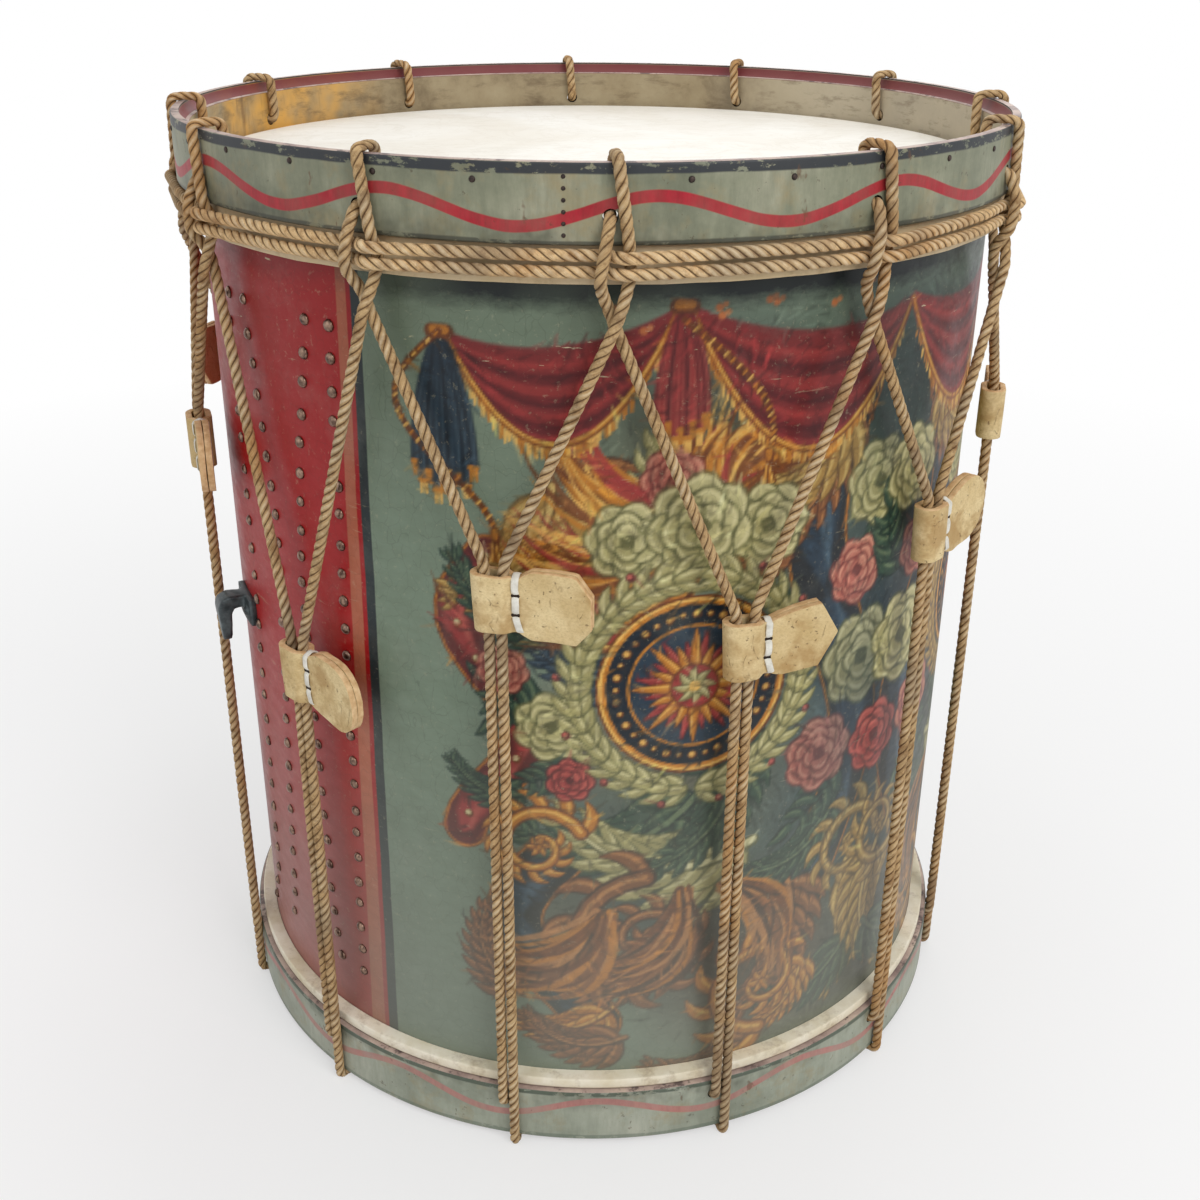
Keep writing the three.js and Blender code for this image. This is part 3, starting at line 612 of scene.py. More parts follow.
def middle_line(stops, step_angle=math.radians(12)):
    """The line through the stops, with an arc at each."""
    line = [stops[0][0]]
    for i in range(1, len(stops) - 1):
        at, bend = stops[i]
        to_back, to_ahead = stops[i - 1][0] - at, stops[i + 1][0] - at
        back, ahead = unit(to_back), unit(to_ahead)
        turn = math.pi - math.acos(max(-1.0, min(1.0, float(back @ ahead))))
        if turn < PLAIN_CORNER:
            line.append(at)
            continue
        room = 0.49 * min(np.linalg.norm(to_back), np.linalg.norm(to_ahead))
        radius = min(bend, room / math.tan(turn / 2))
        centre = at + unit(back + ahead) * radius / math.cos(turn / 2)
        start = at + back * radius * math.tan(turn / 2) - centre
        axis = Vector(unit(np.cross(ahead, back)))
        steps = max(2, math.ceil(turn / step_angle))
        for k in range(steps + 1):
            spun = Matrix.Rotation(turn * k / steps, 3, axis) @ Vector(start)
            line.append(np.array(spun) + centre)
    line.append(stops[-1][0])
    return np.array(line)


def resample(line, step):
    """Points at even steps along a line, and how far along each is."""
    legs = np.linalg.norm(np.diff(line, axis=0), axis=1)
    along = np.concatenate([[0.0], np.cumsum(legs)])
    at = np.linspace(0, along[-1], max(2, round(along[-1] / step)) + 1)
    return np.stack([np.interp(at, along, line[:, i]) for i in range(3)], axis=1), at


def smoothed(points, rounds):
    for _ in range(rounds):
        points = points.copy()
        points[1:-1] = (points[:-2] + 2 * points[1:-1] + points[2:]) / 4
    return points


def carried_frames(points):
    """Directions across a line that turn with it and don't twist."""
    ways = np.gradient(points, axis=0)
    ways /= np.linalg.norm(ways, axis=1)[:, None]
    across = np.cross((0.3, 0.2, 1.0), ways[0])
    sides = []
    for way in ways:
        across = unit(across - way * (across @ way))
        sides.append(across)
    sides = np.array(sides)
    return sides, np.cross(ways, sides)


STRANDS = 3
# Across a strand, from the groove at one side to the crown in its middle and on
CREST_PLACES = (-1.0, -0.75, -0.4, 0.0, 0.4, 0.75)
GROOVE_DEPTH = 0.27
ROPE_STEP = 1.4
ROPE_LEAD = 22.8
DRAG_LEAD = 24.5
RIM_SQUASH = 0.8
PHASE = 1.3  # from one length's strands to the next's


def twisted_rope(name, line, diameter, lead, material, phase=0.0):
    """A laid rope of three strands along a line, in millimetres, pressed flat on the floor and the rim."""
    points, at = resample(smoothed(resample(line, ROPE_STEP)[0], 4), ROPE_STEP)
    sides, others = carried_frames(points)
    strands, places = np.meshgrid(range(STRANDS), CREST_PLACES, indexing="ij")
    crowns = np.sqrt(1 - places.ravel() ** 2)
    angles = TURN * (strands + 0.5 + places / 2).ravel() / STRANDS
    radii = diameter / 2 * (1 - GROOVE_DEPTH * (1 - crowns))
    turns = angles[None, :] + (TURN * at / lead + phase)[:, None]
    ring = radii[None, :, None] * (
        np.cos(turns)[:, :, None] * sides[:, None, :] + np.sin(turns)[:, :, None] * others[:, None, :]
    )
    verts = (points[:, None, :] + ring).reshape(-1, 3)
    verts[:, 2] = np.maximum(verts[:, 2], 0.0)
    verts[:, 2] = np.minimum(verts[:, 2], RIM + (verts[:, 2] - RIM) * RIM_SQUASH)
    rows, columns = len(points), len(angles)
    faces = grid_faces(rows, columns, closed_columns=True)
    faces.append(tuple(reversed(range(columns))))
    faces.append(tuple((rows - 1) * columns + i for i in range(columns)))
    obj = mesh_object(name, verts * MM, faces, [material])
    loops = np.zeros(len(obj.data.loops), int)
    obj.data.loops.foreach_get("vertex_index", loops)
    uv = np.stack([loops % columns / columns, at[loops // columns] * MM], axis=1)
    obj.data.uv_layers.new(name="UVMap").data.foreach_set("uv", uv.astype(np.float32).ravel())
    groove = obj.data.attributes.new("groove", "FLOAT", "POINT")
    groove.data.foreach_set("value", np.tile((1 - crowns).astype(np.float32), rows))
    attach(obj, "drum")
    return obj


DRAG_SAG = 0.7
DRAG_REST = LAP_R + FIT + DRAG_ROPE / 2 + DRAG_SAG
DRAG_PITCH = DRAG_ROPE + 2
DRAG_END_DIP = 1.0
DRAG_DROP = 1.5
UPPER_DRAG_Z = UPPER_HOOP_FOOT - DRAG_DROP - DRAG_ROPE / 2
LOWER_DRAG_Z = UPPER_DRAG_Z - DRAG_PITCH
DRAG_FIRST = 1
DRAG_TURNS = 2
DRAG_END = 18.0
FRONT_STRAND = DRAG_REST + (DRAG_ROPE + ROPE) / 2 + 4 * FIT
BEHIND_STRAND = LAP_R + 2 * FIT + ROPE / 2
CROSSING_Z = RIM - 2 * HOOP_HEIGHT
CROSSING_LIFT = 2.0
CROSSING_FRONT = STRAND_R + CROSSING_LIFT
CROSSING_BACK = CROSSING_FRONT - ROPE - 2 * FIT
HOLE_STAND = 2.0

# Each point of the route: how far beside the lacing point, and its radius and height
FRONT_ROUTE = (
    (-6.0, FRONT_STRAND, UPPER_HOOP_FOOT),
    (-9.5, FRONT_STRAND, LOWER_DRAG_Z - 4.5),
    (-7.5, CROSSING_BACK + 4.3, LOWER_DRAG_Z - 13),
    (-4.5, CROSSING_BACK + 0.5, CROSSING_Z + 12),
    (0.0, CROSSING_BACK, CROSSING_Z),
)
BEHIND_ROUTE = (
    (0.0, CROSSING_FRONT, CROSSING_Z),
    (4.5, CROSSING_FRONT - 2, CROSSING_Z + 12),
    (9.5, BEHIND_STRAND, LOWER_DRAG_Z - 3),
    (9.0, BEHIND_STRAND, UPPER_DRAG_Z - 2),
    (8.5, STRAND_R - 2.2, UPPER_HOOP_FOOT - 3.4),
    (8.0, STRAND_R, UPPER_HOOP_FOOT + 2),
)


def rope_stops(k):
    start, middle, end = top_angle(k), tug_angle(k), top_angle(k + 1)
    mouth_z = tug_height(k) + TUG_HEIGHT / 2 + MOUTH_RISE
    tug_foot = tug_height(k) - TUG_HEIGHT / 2
    mouth = MOUTH_HALF + FIT
    foot, rim = FOOT - OVER_RIM, RIM + OVER_RIM
    return [
        stop(start, TOP_HOLE_ASIDE, HOOP_MIDDLE + FIT / 2, UPPER_HOLE_Z),
        stop(start, TOP_HOLE_ASIDE, HOOP_R + HOLE_STAND, UPPER_HOLE_Z, TIGHT_BEND),
        *[stop(start, *place) for place in FRONT_ROUTE],
        stop(middle, -mouth, STRAND_R, mouth_z),
        stop(middle, -PAIR_HALF, STRAND_R, tug_foot),
        stop(middle, -PAIR_HALF, STRAND_R, LOWER_HOLE_Z, TIGHT_BEND),
        stop(middle, -PAIR_HALF, INNER_STRAND_R, LOWER_HOLE_Z, TIGHT_BEND),
        stop(middle, PAIR_HALF, INNER_STRAND_R, foot, TIGHT_BEND),
        stop(middle, PAIR_HALF, STRAND_R, foot, TIGHT_BEND),
        stop(middle, PAIR_HALF, STRAND_R, tug_foot),
        stop(middle, mouth, STRAND_R, mouth_z),
        *[stop(end, *place) for place in BEHIND_ROUTE],
        stop(end, 1.0, STRAND_R, rim, TIGHT_BEND),
        stop(end, 0.0, INNER_STRAND_R, rim, TIGHT_BEND),
        stop(end, TOP_HOLE_ASIDE, INNER_STRAND_R, UPPER_HOLE_Z, TIGHT_BEND),
        stop(end, TOP_HOLE_ASIDE, HOOP_MIDDLE - FIT / 2, UPPER_HOLE_Z),
    ]


WEAVE_GAP = (DRAG_ROPE + ROPE) / 2 + FIT
WEAVE_UPPER = (-3.5, 6.0, STRAND_R - 1.5 + WEAVE_GAP)
WEAVE_LOWER = (-5.5, 6.0, BEHIND_STRAND + 1 + WEAVE_GAP)
REST_SHARES = (0.5, 0.74)
FALL_SHARES = (0.25, 0.5, 0.76)


def drag_stops():
    """Two turns, under each falling strand and over each rising one."""
    stops = []
    count = DRAG_TURNS * ROPE_COUNT
    for n in range(count):
        angle = top_angle(DRAG_FIRST + n)
        upper = n < ROPE_COUNT
        z = UPPER_DRAG_Z if upper else LOWER_DRAG_Z
        under, over, radius = WEAVE_UPPER if upper else WEAVE_LOWER
        if n == 0:
            stops.append(stop(angle, -DRAG_END, DRAG_REST, z))
        stops.append(stop(angle, under, DRAG_REST, z, WEAVE_GAP))
        stops.append(stop(angle, over, radius, z, WEAVE_GAP))
        if n == count - 1:
            stops.append(stop(angle, DRAG_END, radius - DRAG_END_DIP, z))
            continue
        falls = n == ROPE_COUNT - 1
        for i, share in enumerate(FALL_SHARES if falls else REST_SHARES):
            rest = DRAG_REST + ROPE / 2 if share < REST_SHARES[0] else DRAG_REST
            stops.append(stop(angle + share * SECTOR, 0, rest, z - DRAG_PITCH if falls and i else z))
    return stops


def make_ropes():
    for k in range(ROPE_COUNT):
        name = f"tension_rope_{k + 1:02d}"
        line = middle_line(rope_stops(k))
        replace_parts(twisted_rope("laid_" + name, line, ROPE, ROPE_LEAD, MATERIALS["rope"], k * PHASE), name)
    drag = twisted_rope("laid_drag_rope", middle_line(drag_stops()), DRAG_ROPE, DRAG_LEAD, MATERIALS["drag"])
    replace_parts(drag, "drag_rope")


# Hoops and heads

ROUND = 288
RIM_EASE = (6.5, 9.0)


def hoop_profile(rim, way):
    """Up the outside of an upper hoop, over its rim and down the inside. way is -1 for an upper hoop."""
    out = HOOP_R - HOOP_ROUND
    turned = HOOP_ROUND * np.sin(quarter(4)), HOOP_ROUND * (1 - np.cos(quarter(4)))
    foot = [(HOOP_INSIDE, HOOP_HEIGHT)] + [(out + s, HOOP_HEIGHT - c) for s, c in zip(*turned)]
    side = [(HOOP_R, d) for d in np.linspace(HOOP_HEIGHT - HOOP_ROUND, HOOP_ROUND, 6)[1:-1]]
    rim_out = [(HOOP_R - c, HOOP_ROUND - s) for s, c in zip(*turned)]
    rim_in = [(HOOP_INSIDE + RIM_EASE[0] * math.cos(a), RIM_EASE[1] * math.sin(a)) for a in quarter(5)]
    inner = [(HOOP_INSIDE, d) for d in np.linspace(RIM_EASE[1], HOOP_HEIGHT, 6)[1:-1]]
    profile = [(r, rim + way * depth) for r, depth in foot + side + rim_out + rim_in + inner]
    return profile if way < 0 else profile[::-1]


def cut_holes(obj, angles, aside, z):
    """Bores a round hole through a hoop at each angle. Its wall is dark: bare wood with painted shade in the
    bore.
    """
    cutter = bmesh.new()
    for angle in angles:
        turn = angle + aside / STRAND_R
        matrix = Matrix.Translation(polar(HOOP_MIDDLE, turn, z))
        matrix = matrix @ Matrix.Rotation(turn, 4, "Z") @ Matrix.Rotation(math.pi / 2, 4, "X")
        bmesh.ops.create_cone(cutter, cap_ends=True, segments=HOLE_SIDES, radius1=HOLE / 2 * MM,
                              radius2=HOLE / 2 * MM, depth=3 * HOOP_WALL * MM, matrix=matrix)
    mesh = bpy.data.meshes.new("hole cutter")
    cutter.to_mesh(mesh)
    cutter.free()
    mesh.materials.append(MATERIALS["hole"])
    tool = placed("hole cutter", mesh)
    modify(obj, "holes", "BOOLEAN", operation="DIFFERENCE", object=tool, solver="EXACT",
           material_mode="TRANSFER")
    apply_modifiers(obj)
    bpy.data.objects.remove(tool)


def make_hoop(place, rim, way, angle_of, aside, hole_z):
    materials = [MATERIALS[place + "_out"], MATERIALS["rim"], MATERIALS[place + "_in"]]
    obj = lathe(place + "_hoop", hoop_profile(rim, way), ROUND, materials)
    for polygon in obj.data.polygons:
        flat = abs(polygon.normal.z) > 0.9
        polygon.material_index = 1 if flat else 2 if far_out(polygon) < HOOP_MIDDLE else 0
    cut_holes(obj, [angle_of(k) for k in range(ROPE_COUNT)], aside, hole_z)
    obj.data.polygons.foreach_set("use_smooth", [True] * len(obj.data.polygons))
    split_sharp(obj, 40)
    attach(obj, "drum")
    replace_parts(obj, place + "_counter_hoop")


NAIL_RINGS = ((1.0, 0.0), (0.8, 0.35), (0.4, 0.5))
NAIL_STEP = 11.6
NAIL_FIRST = -36.3
NAIL_COUNT = 31
NAIL_LOST = 3
NAIL_DROP, NAIL_SIZE = 9, 2.1
JOINT_ANGLE = math.radians(-3.4)
JOINT_NAILS = 6
JOINT_NAIL_DROP, JOINT_NAIL_STEP, JOINT_NAIL_SIZE = 8, 6.8, 1.4


def make_nails():
    """Dark nails under the upper hoop's stripe, and the close column of small ones at its joint."""
    big = [(HOOP_R, math.radians(NAIL_FIRST + NAIL_STEP * i), RIM - NAIL_DROP - i % 3, NAIL_SIZE)
           for i in range(NAIL_COUNT) if i != NAIL_LOST]
    small = [(HOOP_R, JOINT_ANGLE, RIM - JOINT_NAIL_DROP - JOINT_NAIL_STEP * i, JOINT_NAIL_SIZE)
             for i in range(JOINT_NAILS)]
    domes("hoop_nails", big + small, NAIL_RINGS, MATERIALS["nail"])


LAP_EDGE = 1.2
COLLAR = LAP_R - 10
BEARING = 6.3
PUCKERS = 97
PUCKER, PUCKER_EASE = 0.35, 4
SKIN_EASE = 0.4
EYE = 0.05  # the smallest ring's radius, at the axis
LAP_RISE = ((0, -1), (1.5, -0.2), (4.0, 0))


def head_profile(rim, way, ring_height):
    edge_r = COLLAR - BEARING
    lap_top = HOOP_HEIGHT + FIT
    low = HOOP_HEIGHT + ring_height
    face = [(r, HEAD_RECESS) for r in np.linspace(EYE, edge_r, 14)]
    edge = [(edge_r + BEARING * math.sin(a), HEAD_RECESS + BEARING * (1 - math.cos(a)))
            for a in quarter(7)[1:]]
    lap = [(COLLAR + out, lap_top + down) for out, down in LAP_RISE]
    bulge = [(LAP_R - LAP_EDGE * (1 - math.sin(a)), lap_top + LAP_EDGE * (1 - math.cos(a)))
             for a in quarter(4)]
    under = [(LAP_R - LAP_EDGE * (1 - math.cos(a)), low - LAP_EDGE * (1 - math.sin(a))) for a in quarter(4)]
    back = [(SHELL_R + SKIN_EASE, low), (SHELL_R + SKIN_EASE, HEAD_RECESS + BEARING + SKIN),
            (edge_r, HEAD_RECESS + SKIN), (EYE, HEAD_RECESS + SKIN)]
    profile = [(r, rim + way * depth) for r, depth in face + edge + lap + bulge + under + back]
    return profile[::-1] if way < 0 else profile


def make_head(place, rim, way):
    """A skin over the bearing edge and lapped on its flesh hoop, a little puckered round the lap."""
    profile = head_profile(rim, way, RING_HEIGHTS[place])
    obj = lathe(place + "_skin", profile, ROUND, [MATERIALS["skin"], MATERIALS["lap"]])
    limit = COLLAR + 0.2
    rng = random.Random(7)
    puckers = [rng.uniform(-1, 1) for _ in range(PUCKERS)]
    for vertex in obj.data.vertices:
        radius = math.hypot(*vertex.co.xy) / MM
        if radius > limit:
            low, share = divmod((math.atan2(vertex.co.x, -vertex.co.y) % TURN) / TURN * PUCKERS, 1)
            pucker = puckers[int(low) % PUCKERS] * (1 - share) + puckers[(int(low) + 1) % PUCKERS] * share
            vertex.co.z += way * PUCKER * pucker * MM * min(1.0, (radius - limit) / PUCKER_EASE)
    for polygon in obj.data.polygons:
        polygon.material_index = 1 if far_out(polygon) > limit - 1 else 0
    split_sharp(obj, 50)
    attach(obj, "drum")
    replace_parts(obj, place + "_head_skin")


# The painted figures. Places are (across, up): the arc from the front and the height, in millimetres.


def arc_of(degrees):
    return math.radians(degrees) * SHELL_R


PAINT_STEP = 1.5
DESIGN_FROM, DESIGN_TO = -29.0, 119.0
DESIGN_MIDDLE = 240.0
DESIGN_FOOT = 60.0
DESIGN_SCALE = 1.07
PANELS = 4
DABS = 9000
NEAR_GROUND = 14
CHIPS = ((78, 668), (80, 663), (112, 671), (117, 669), (30, 655), (161, 664), (190, 673), (8, 668))

# Shadow, body and light of each paint, as they look on a screen
CRIMSON = ((84, 26, 30), (154, 56, 54), (194, 102, 88))
GOLD = ((104, 56, 26), (190, 122, 46), (232, 182, 96))
CREAM = ((92, 92, 58), (164, 156, 104), (214, 206, 156))
NAVY = ((22, 32, 42), (40, 56, 70), (82, 104, 118))
BROWN = ((64, 38, 26), (130, 80, 46), (184, 128, 76))
LEAF = ((26, 42, 38), (54, 76, 62), (106, 122, 90))
PINK = ((112, 50, 46), (168, 92, 78), (210, 150, 124))
OCHRE = ((92, 68, 34), (166, 130, 68), (212, 182, 112))


class Canvas:
    """Colours on a grid over part of the shell."""

    def __init__(self, left, right, foot, top, ground):
        self.x = np.linspace(left, right, round((right - left) / PAINT_STEP) + 1)
        self.z = np.linspace(foot, top, round((top - foot) / PAINT_STEP) + 1)
        self.colour = np.tile(np.array(ground, float), (len(self.z), len(self.x), 1))
        self.rng = random.Random(5)

    def stroke(self, line, widths, colour, soft=1.6, cover=0.92):
        """Paints along a line of points, with a half width at each."""
        line = np.asarray(line, float)
        widths = np.broadcast_to(np.asarray(widths, float), len(line))
        reach = widths.max() + soft
        x0, x1 = np.searchsorted(self.x, (line[:, 0].min() - reach, line[:, 0].max() + reach))
        z0, z1 = np.searchsorted(self.z, (line[:, 1].min() - reach, line[:, 1].max() + reach))
        if x0 >= x1 or z0 >= z1:
            return
        x, z = self.x[None, x0:x1], self.z[z0:z1, None]
        inside = np.full((z1 - z0, x1 - x0), -reach)
        for (ax, az), (bx, bz), wa, wb in zip(line, line[1:], widths, widths[1:]):
            dx, dz = bx - ax, bz - az
            t = np.clip(((x - ax) * dx + (z - az) * dz) / max(dx * dx + dz * dz, 1e-9), 0, 1)
            np.maximum(inside, wa + t * (wb - wa) - np.hypot(x - ax - t * dx, z - az - t * dz), out=inside)
        share = (np.clip(inside / soft + 0.5, 0, 1) * cover)[:, :, None]
        area = self.colour[z0:z1, x0:x1]
        area += (np.array(colour, float) - area) * share

    def spot(self, at, radius, colour, **how):
        self.stroke([at, np.asarray(at) + (0.1, 0)], radius, colour, **how)

    def bead(self, at, radius, shade, shift, shine, light):
        """A spot with a lit side."""
        self.spot(at, radius, shade)
        self.spot(at + shift, shine, light)

    def blade(self, base, tip, bow, width, tones):
        """A leaf, petal or ray in one sweep of the brush: dark edge, body and lit side."""
        line = bowed(base, tip, bow)
        swell = np.sin(np.pi * np.linspace(0.12, 0.97, len(line)) ** 0.8)
        self.stroke(line, width * swell + 0.9, tones[0], cover=0.8)
        self.stroke(line, width * swell * 0.86, tones[1])
        side = np.array((line[0][1] - line[-1][1], line[-1][0] - line[0][0]))
        side = side * (1 if side[1] > 0 else -1) / max(np.hypot(*side), 1e-9)
        self.stroke(line[1:-1] + side * width * 0.3, width * swell[1:-1] * 0.26, tones[2], cover=0.75)

    def locks(self, base, tip, bow, spread, count, width, tones):
        """A bundle of flame-like strokes that fans out from its base."""
        for _ in range(count):
            off = np.array((self.rng.uniform(-spread, spread), self.rng.uniform(-spread, spread)))
            end = np.asarray(tip) + off * self.rng.uniform(0.8, 2.0)
            line = bowed(np.asarray(base) + off * 0.5, end, bow * self.rng.uniform(0.4, 1.6))
            taper = np.sin(np.pi * np.linspace(0.2, 0.98, len(line))) * width * self.rng.uniform(0.6, 1.3)
            self.stroke(line, taper, self.rng.choice(tones), cover=0.85)

    def dab(self, count):
        """Short strokes a little lighter or darker than what they cover, as a brush leaves."""
        for _ in range(count):
            i, j = self.rng.randrange(len(self.z)), self.rng.randrange(len(self.x))
            if np.abs(self.colour[i, j] - GROUND_SCREEN).max() < NEAR_GROUND:
                continue
            at = np.array((self.x[j], self.z[i]))
            turn = 2.5 * math.sin(at[0] / 60) + 2.0 * math.sin(at[1] / 45) + self.rng.uniform(-0.5, 0.5)
            tip = at + np.array((math.cos(turn), math.sin(turn))) * self.rng.uniform(4, 12)
            tone = np.minimum(self.colour[i, j] * self.rng.choice((0.62, 0.75, 1.16, 1.3)), 235)
            self.stroke([at, tip], (1.4, 0.5), tone, cover=0.5)


def bowed(base, tip, bow, count=9):
    """Points from base to tip that bow sideways by a share of their distance."""
    base, tip = np.asarray(base, float), np.asarray(tip, float)
    t = np.linspace(0, 1, count)[:, None]
    side = np.array((base[1] - tip[1], tip[0] - base[0]))
    return base + (tip - base) * t + side * bow * 4 * t * (1 - t)


def out_from(at, radius, angle):
    return np.array((at[0] + radius * math.cos(angle), at[1] + radius * math.sin(angle)))


def acanthus(canvas, spine, size, tones):
    """Lobes on both sides of a spine, smaller towards its tip."""
    count = len(spine) - 1
    for i in range(count, 0, -1):
        way = spine[i] - spine[i - 1]
        way = way / max(np.hypot(*way), 1e-9)
        side = np.array((-way[1], way[0]))
        reach = size * (1.15 - 0.75 * i / count)
        for mark in (1, -1):
            tip = spine[i] + way * reach * 0.75 + side * mark * reach * 0.8
            canvas.blade(spine[i] - way * reach * 0.2, tip, mark * 0.16, reach * 0.24, tones)
            canvas.blade(spine[i], spine[i] + way * reach * 0.8 + side * mark * reach * 0.3, mark * 0.12,
                         reach * 0.17, tones)
    canvas.stroke(spine, np.linspace(size * 0.12, size * 0.03, len(spine)), tones[0])
    canvas.stroke(spine + (0, 0.8), np.linspace(size * 0.07, size * 0.02, len(spine)), tones[2])


def scroll(canvas, at, radius, start, turns, hand, size, tones):
    """A stem that winds in, with leaves on its outer side and a flower at its end."""
    steps = 30
    line = np.array([out_from(at, radius * (1 - 0.8 * i / steps), start + hand * TURN * turns * i / steps)
                     for i in range(steps + 1)])
    for i in range(0, steps - 4, 2):
        out = (line[i] - at) / np.hypot(*(line[i] - at))
        way = (line[i + 1] - line[i]) / np.hypot(*(line[i + 1] - line[i]))
        reach = size * (1 - 0.55 * i / steps)
        tip = line[i] + out * reach * 0.75 + way * reach * 0.9
        canvas.blade(line[i], tip, -hand * 0.22, reach * 0.2, tones)
    taper = np.linspace(size * 0.2, size * 0.07, len(line))
    canvas.stroke(line, taper + 1, tones[0])
    canvas.stroke(line, taper * 0.8, tones[1])
    canvas.stroke(line + (0, 1), taper * 0.25, tones[2])
    for i in range(6):
        canvas.blade(at, out_from(at, radius * 0.26, TURN * i / 6), 0.1, radius * 0.07, tones)


def rose(canvas, at, radius, tones):
    turn = canvas.rng.uniform(0, TURN)
    canvas.spot(at, radius * 0.98, tones[0], soft=3)
    for ring, (reach, count, wide) in enumerate(((0.72, 7, 0.36), (0.46, 6, 0.3), (0.22, 4, 0.22))):
        for i in range(count):
            angle = turn + ring * 0.5 + TURN * i / count
            mid = out_from(at, radius * reach, angle)
            out = np.array((math.cos(angle), math.sin(angle))) * radius
            along = np.array((-out[1], out[0])) * wide
            line = bowed(mid - along, mid + along, -0.3, 7)
            swell = np.sin(np.pi * np.linspace(0.15, 0.85, 7)) * radius * 0.2
            canvas.stroke(line, swell + 1, tones[0], cover=0.7)
            light = 0.3 + 0.3 * math.sin(angle + 0.8)
            canvas.stroke(line, swell * 0.8, np.array(tones[1]) * (1 - light) + np.array(tones[2]) * light)
            canvas.stroke(line + out * 0.08, swell * 0.2, tones[2], cover=0.7)
    canvas.spot(at, radius * 0.08, tones[0])


def spray(canvas, at, angle, length, tones):
    """A stalk with paired leaves."""
    tip = out_from(at, length, angle)
    line = bowed(at, tip, 0.12, 12)
    canvas.stroke(line, 1.3, tones[0])
    for i in range(4):
        for mark in (1, -1):
            leaf = out_from(line[2 * i + 2], length * (0.42 - 0.05 * i), angle + mark * 0.75)
            canvas.blade(line[2 * i + 2], leaf, mark * 0.15, length * (0.084 - 0.01 * i), tones)
    canvas.blade(line[-2], out_from(tip, length * 0.2, angle), 0.1, length * 0.06, tones)


def hanging(left, right, sag, count=15):
    t = np.linspace(0, 1, count)
    across = left[0] + (right[0] - left[0]) * t
    return np.stack([across, left[1] + (right[1] - left[1]) * t - sag * 4 * t * (1 - t)], axis=1)


def folded(tones, place):
    """A tone of a fold in cloth."""
    fold = 0.5 + 0.5 * math.sin(place)
    return np.array(tones[0]) * (1 - fold) + np.array(tones[1]) * fold


def swag(canvas, left, right, sag, depth, tones):
    """Cloth hung between two points, in folds, with a gold fringe."""
    folds = 15
    for i in range(folds, -1, -1):
        share = i / folds
        line = hanging((left[0] + 3 * share, left[1]), (right[0] - 3 * share, right[1]), sag + depth * share)
        wide = depth / folds * (0.5 + 0.9 * np.sin(np.pi * np.linspace(0, 1, len(line))))
        canvas.stroke(line, wide, folded(tones, share * 21), soft=2.5)
        if math.sin(share * 21) > 0.5:
            crest_highlight = line[2:-2] + (0, depth / folds * 0.3)
            canvas.stroke(crest_highlight, wide[2:-2] * 0.3, tones[2], soft=2, cover=0.5)
    hem = hanging((left[0] + 3, left[1]), (right[0] - 3, right[1]), sag + depth * 1.06, 60)
    for x, z in hem[3:-3]:
        lean = canvas.rng.uniform(-1.5, 1.5)
        end = (x + lean, z - canvas.rng.uniform(8, 12))
        canvas.stroke([(x, z), end], (1.6, 1.0), canvas.rng.choice(GOLD[1:]), soft=1)
    canvas.stroke(hem, 2.4, GOLD[0])
    canvas.stroke(hem + (0, 0.5), 1.5, GOLD[1])
    canvas.stroke(hem[4:-4] + (0, 1), 0.6, GOLD[2])


def fall(canvas, at, length, width, tones):
    """The gathered end of a cloth, hanging in pleats from a knot."""
    pleats = 9
    pleat = width / pleats
    x, z = at
    for i in range(pleats):
        share = (i + 0.5) / pleats - 0.5
        foot = np.array((x + share * width, z - length * (1 - 0.25 * abs(share) + 0.1 * (i % 2))))
        line = bowed((x + share * 5, z), foot, share * 0.12)
        canvas.stroke(line, np.linspace(2, pleat * 0.75, 9), folded(tones, i * 2.3), soft=2)
        canvas.stroke(line[2:] + (1, 0), np.linspace(0.5, 1.3, 7), tones[2], cover=0.5)
        for j in (-0.4, 0, 0.4):
            thread = [foot + (j * pleat, 0), foot + (j * pleat, -9)]
            canvas.stroke(thread, (1.3, 0.7), GOLD[1 + i % 2], soft=1)
        canvas.stroke([foot - (pleat / 2, 0), foot + (pleat / 2, 0)], 1.6, GOLD[1])
    for half, up, width, tone in ((5, 0, 5, GOLD[0]), (4, 1, 3, GOLD[1])):
        canvas.stroke([(x - half, z + up), (x + half, z + up)], width, tone)


def cord(canvas, line):
    """A twisted gold cord that ends in a tassel."""
    line = np.asarray(line, float)
    canvas.stroke(line, 2.4, GOLD[0])
    for a, b in zip(line, line[1:]):
        for t, tone in ((0.2, GOLD[1]), (0.7, GOLD[2])):
            at = a + (b - a) * t
            canvas.stroke([at - (1.2, 1.2), at + (1.2, 1.2)], 0.9, tone, soft=0.9)
    end = line[-1]
    for i in range(-3, 4):
        canvas.stroke([end, end + (i * 1.7, -19)], (1.6, 0.9), GOLD[abs(i) % 3], soft=1)
    canvas.stroke([end + (0, 2), end - (0, 3)], (4, 3.2), GOLD[0])
    canvas.stroke([end + (-0.6, 2), end - (0.6, 2)], (2.6, 2), GOLD[1])


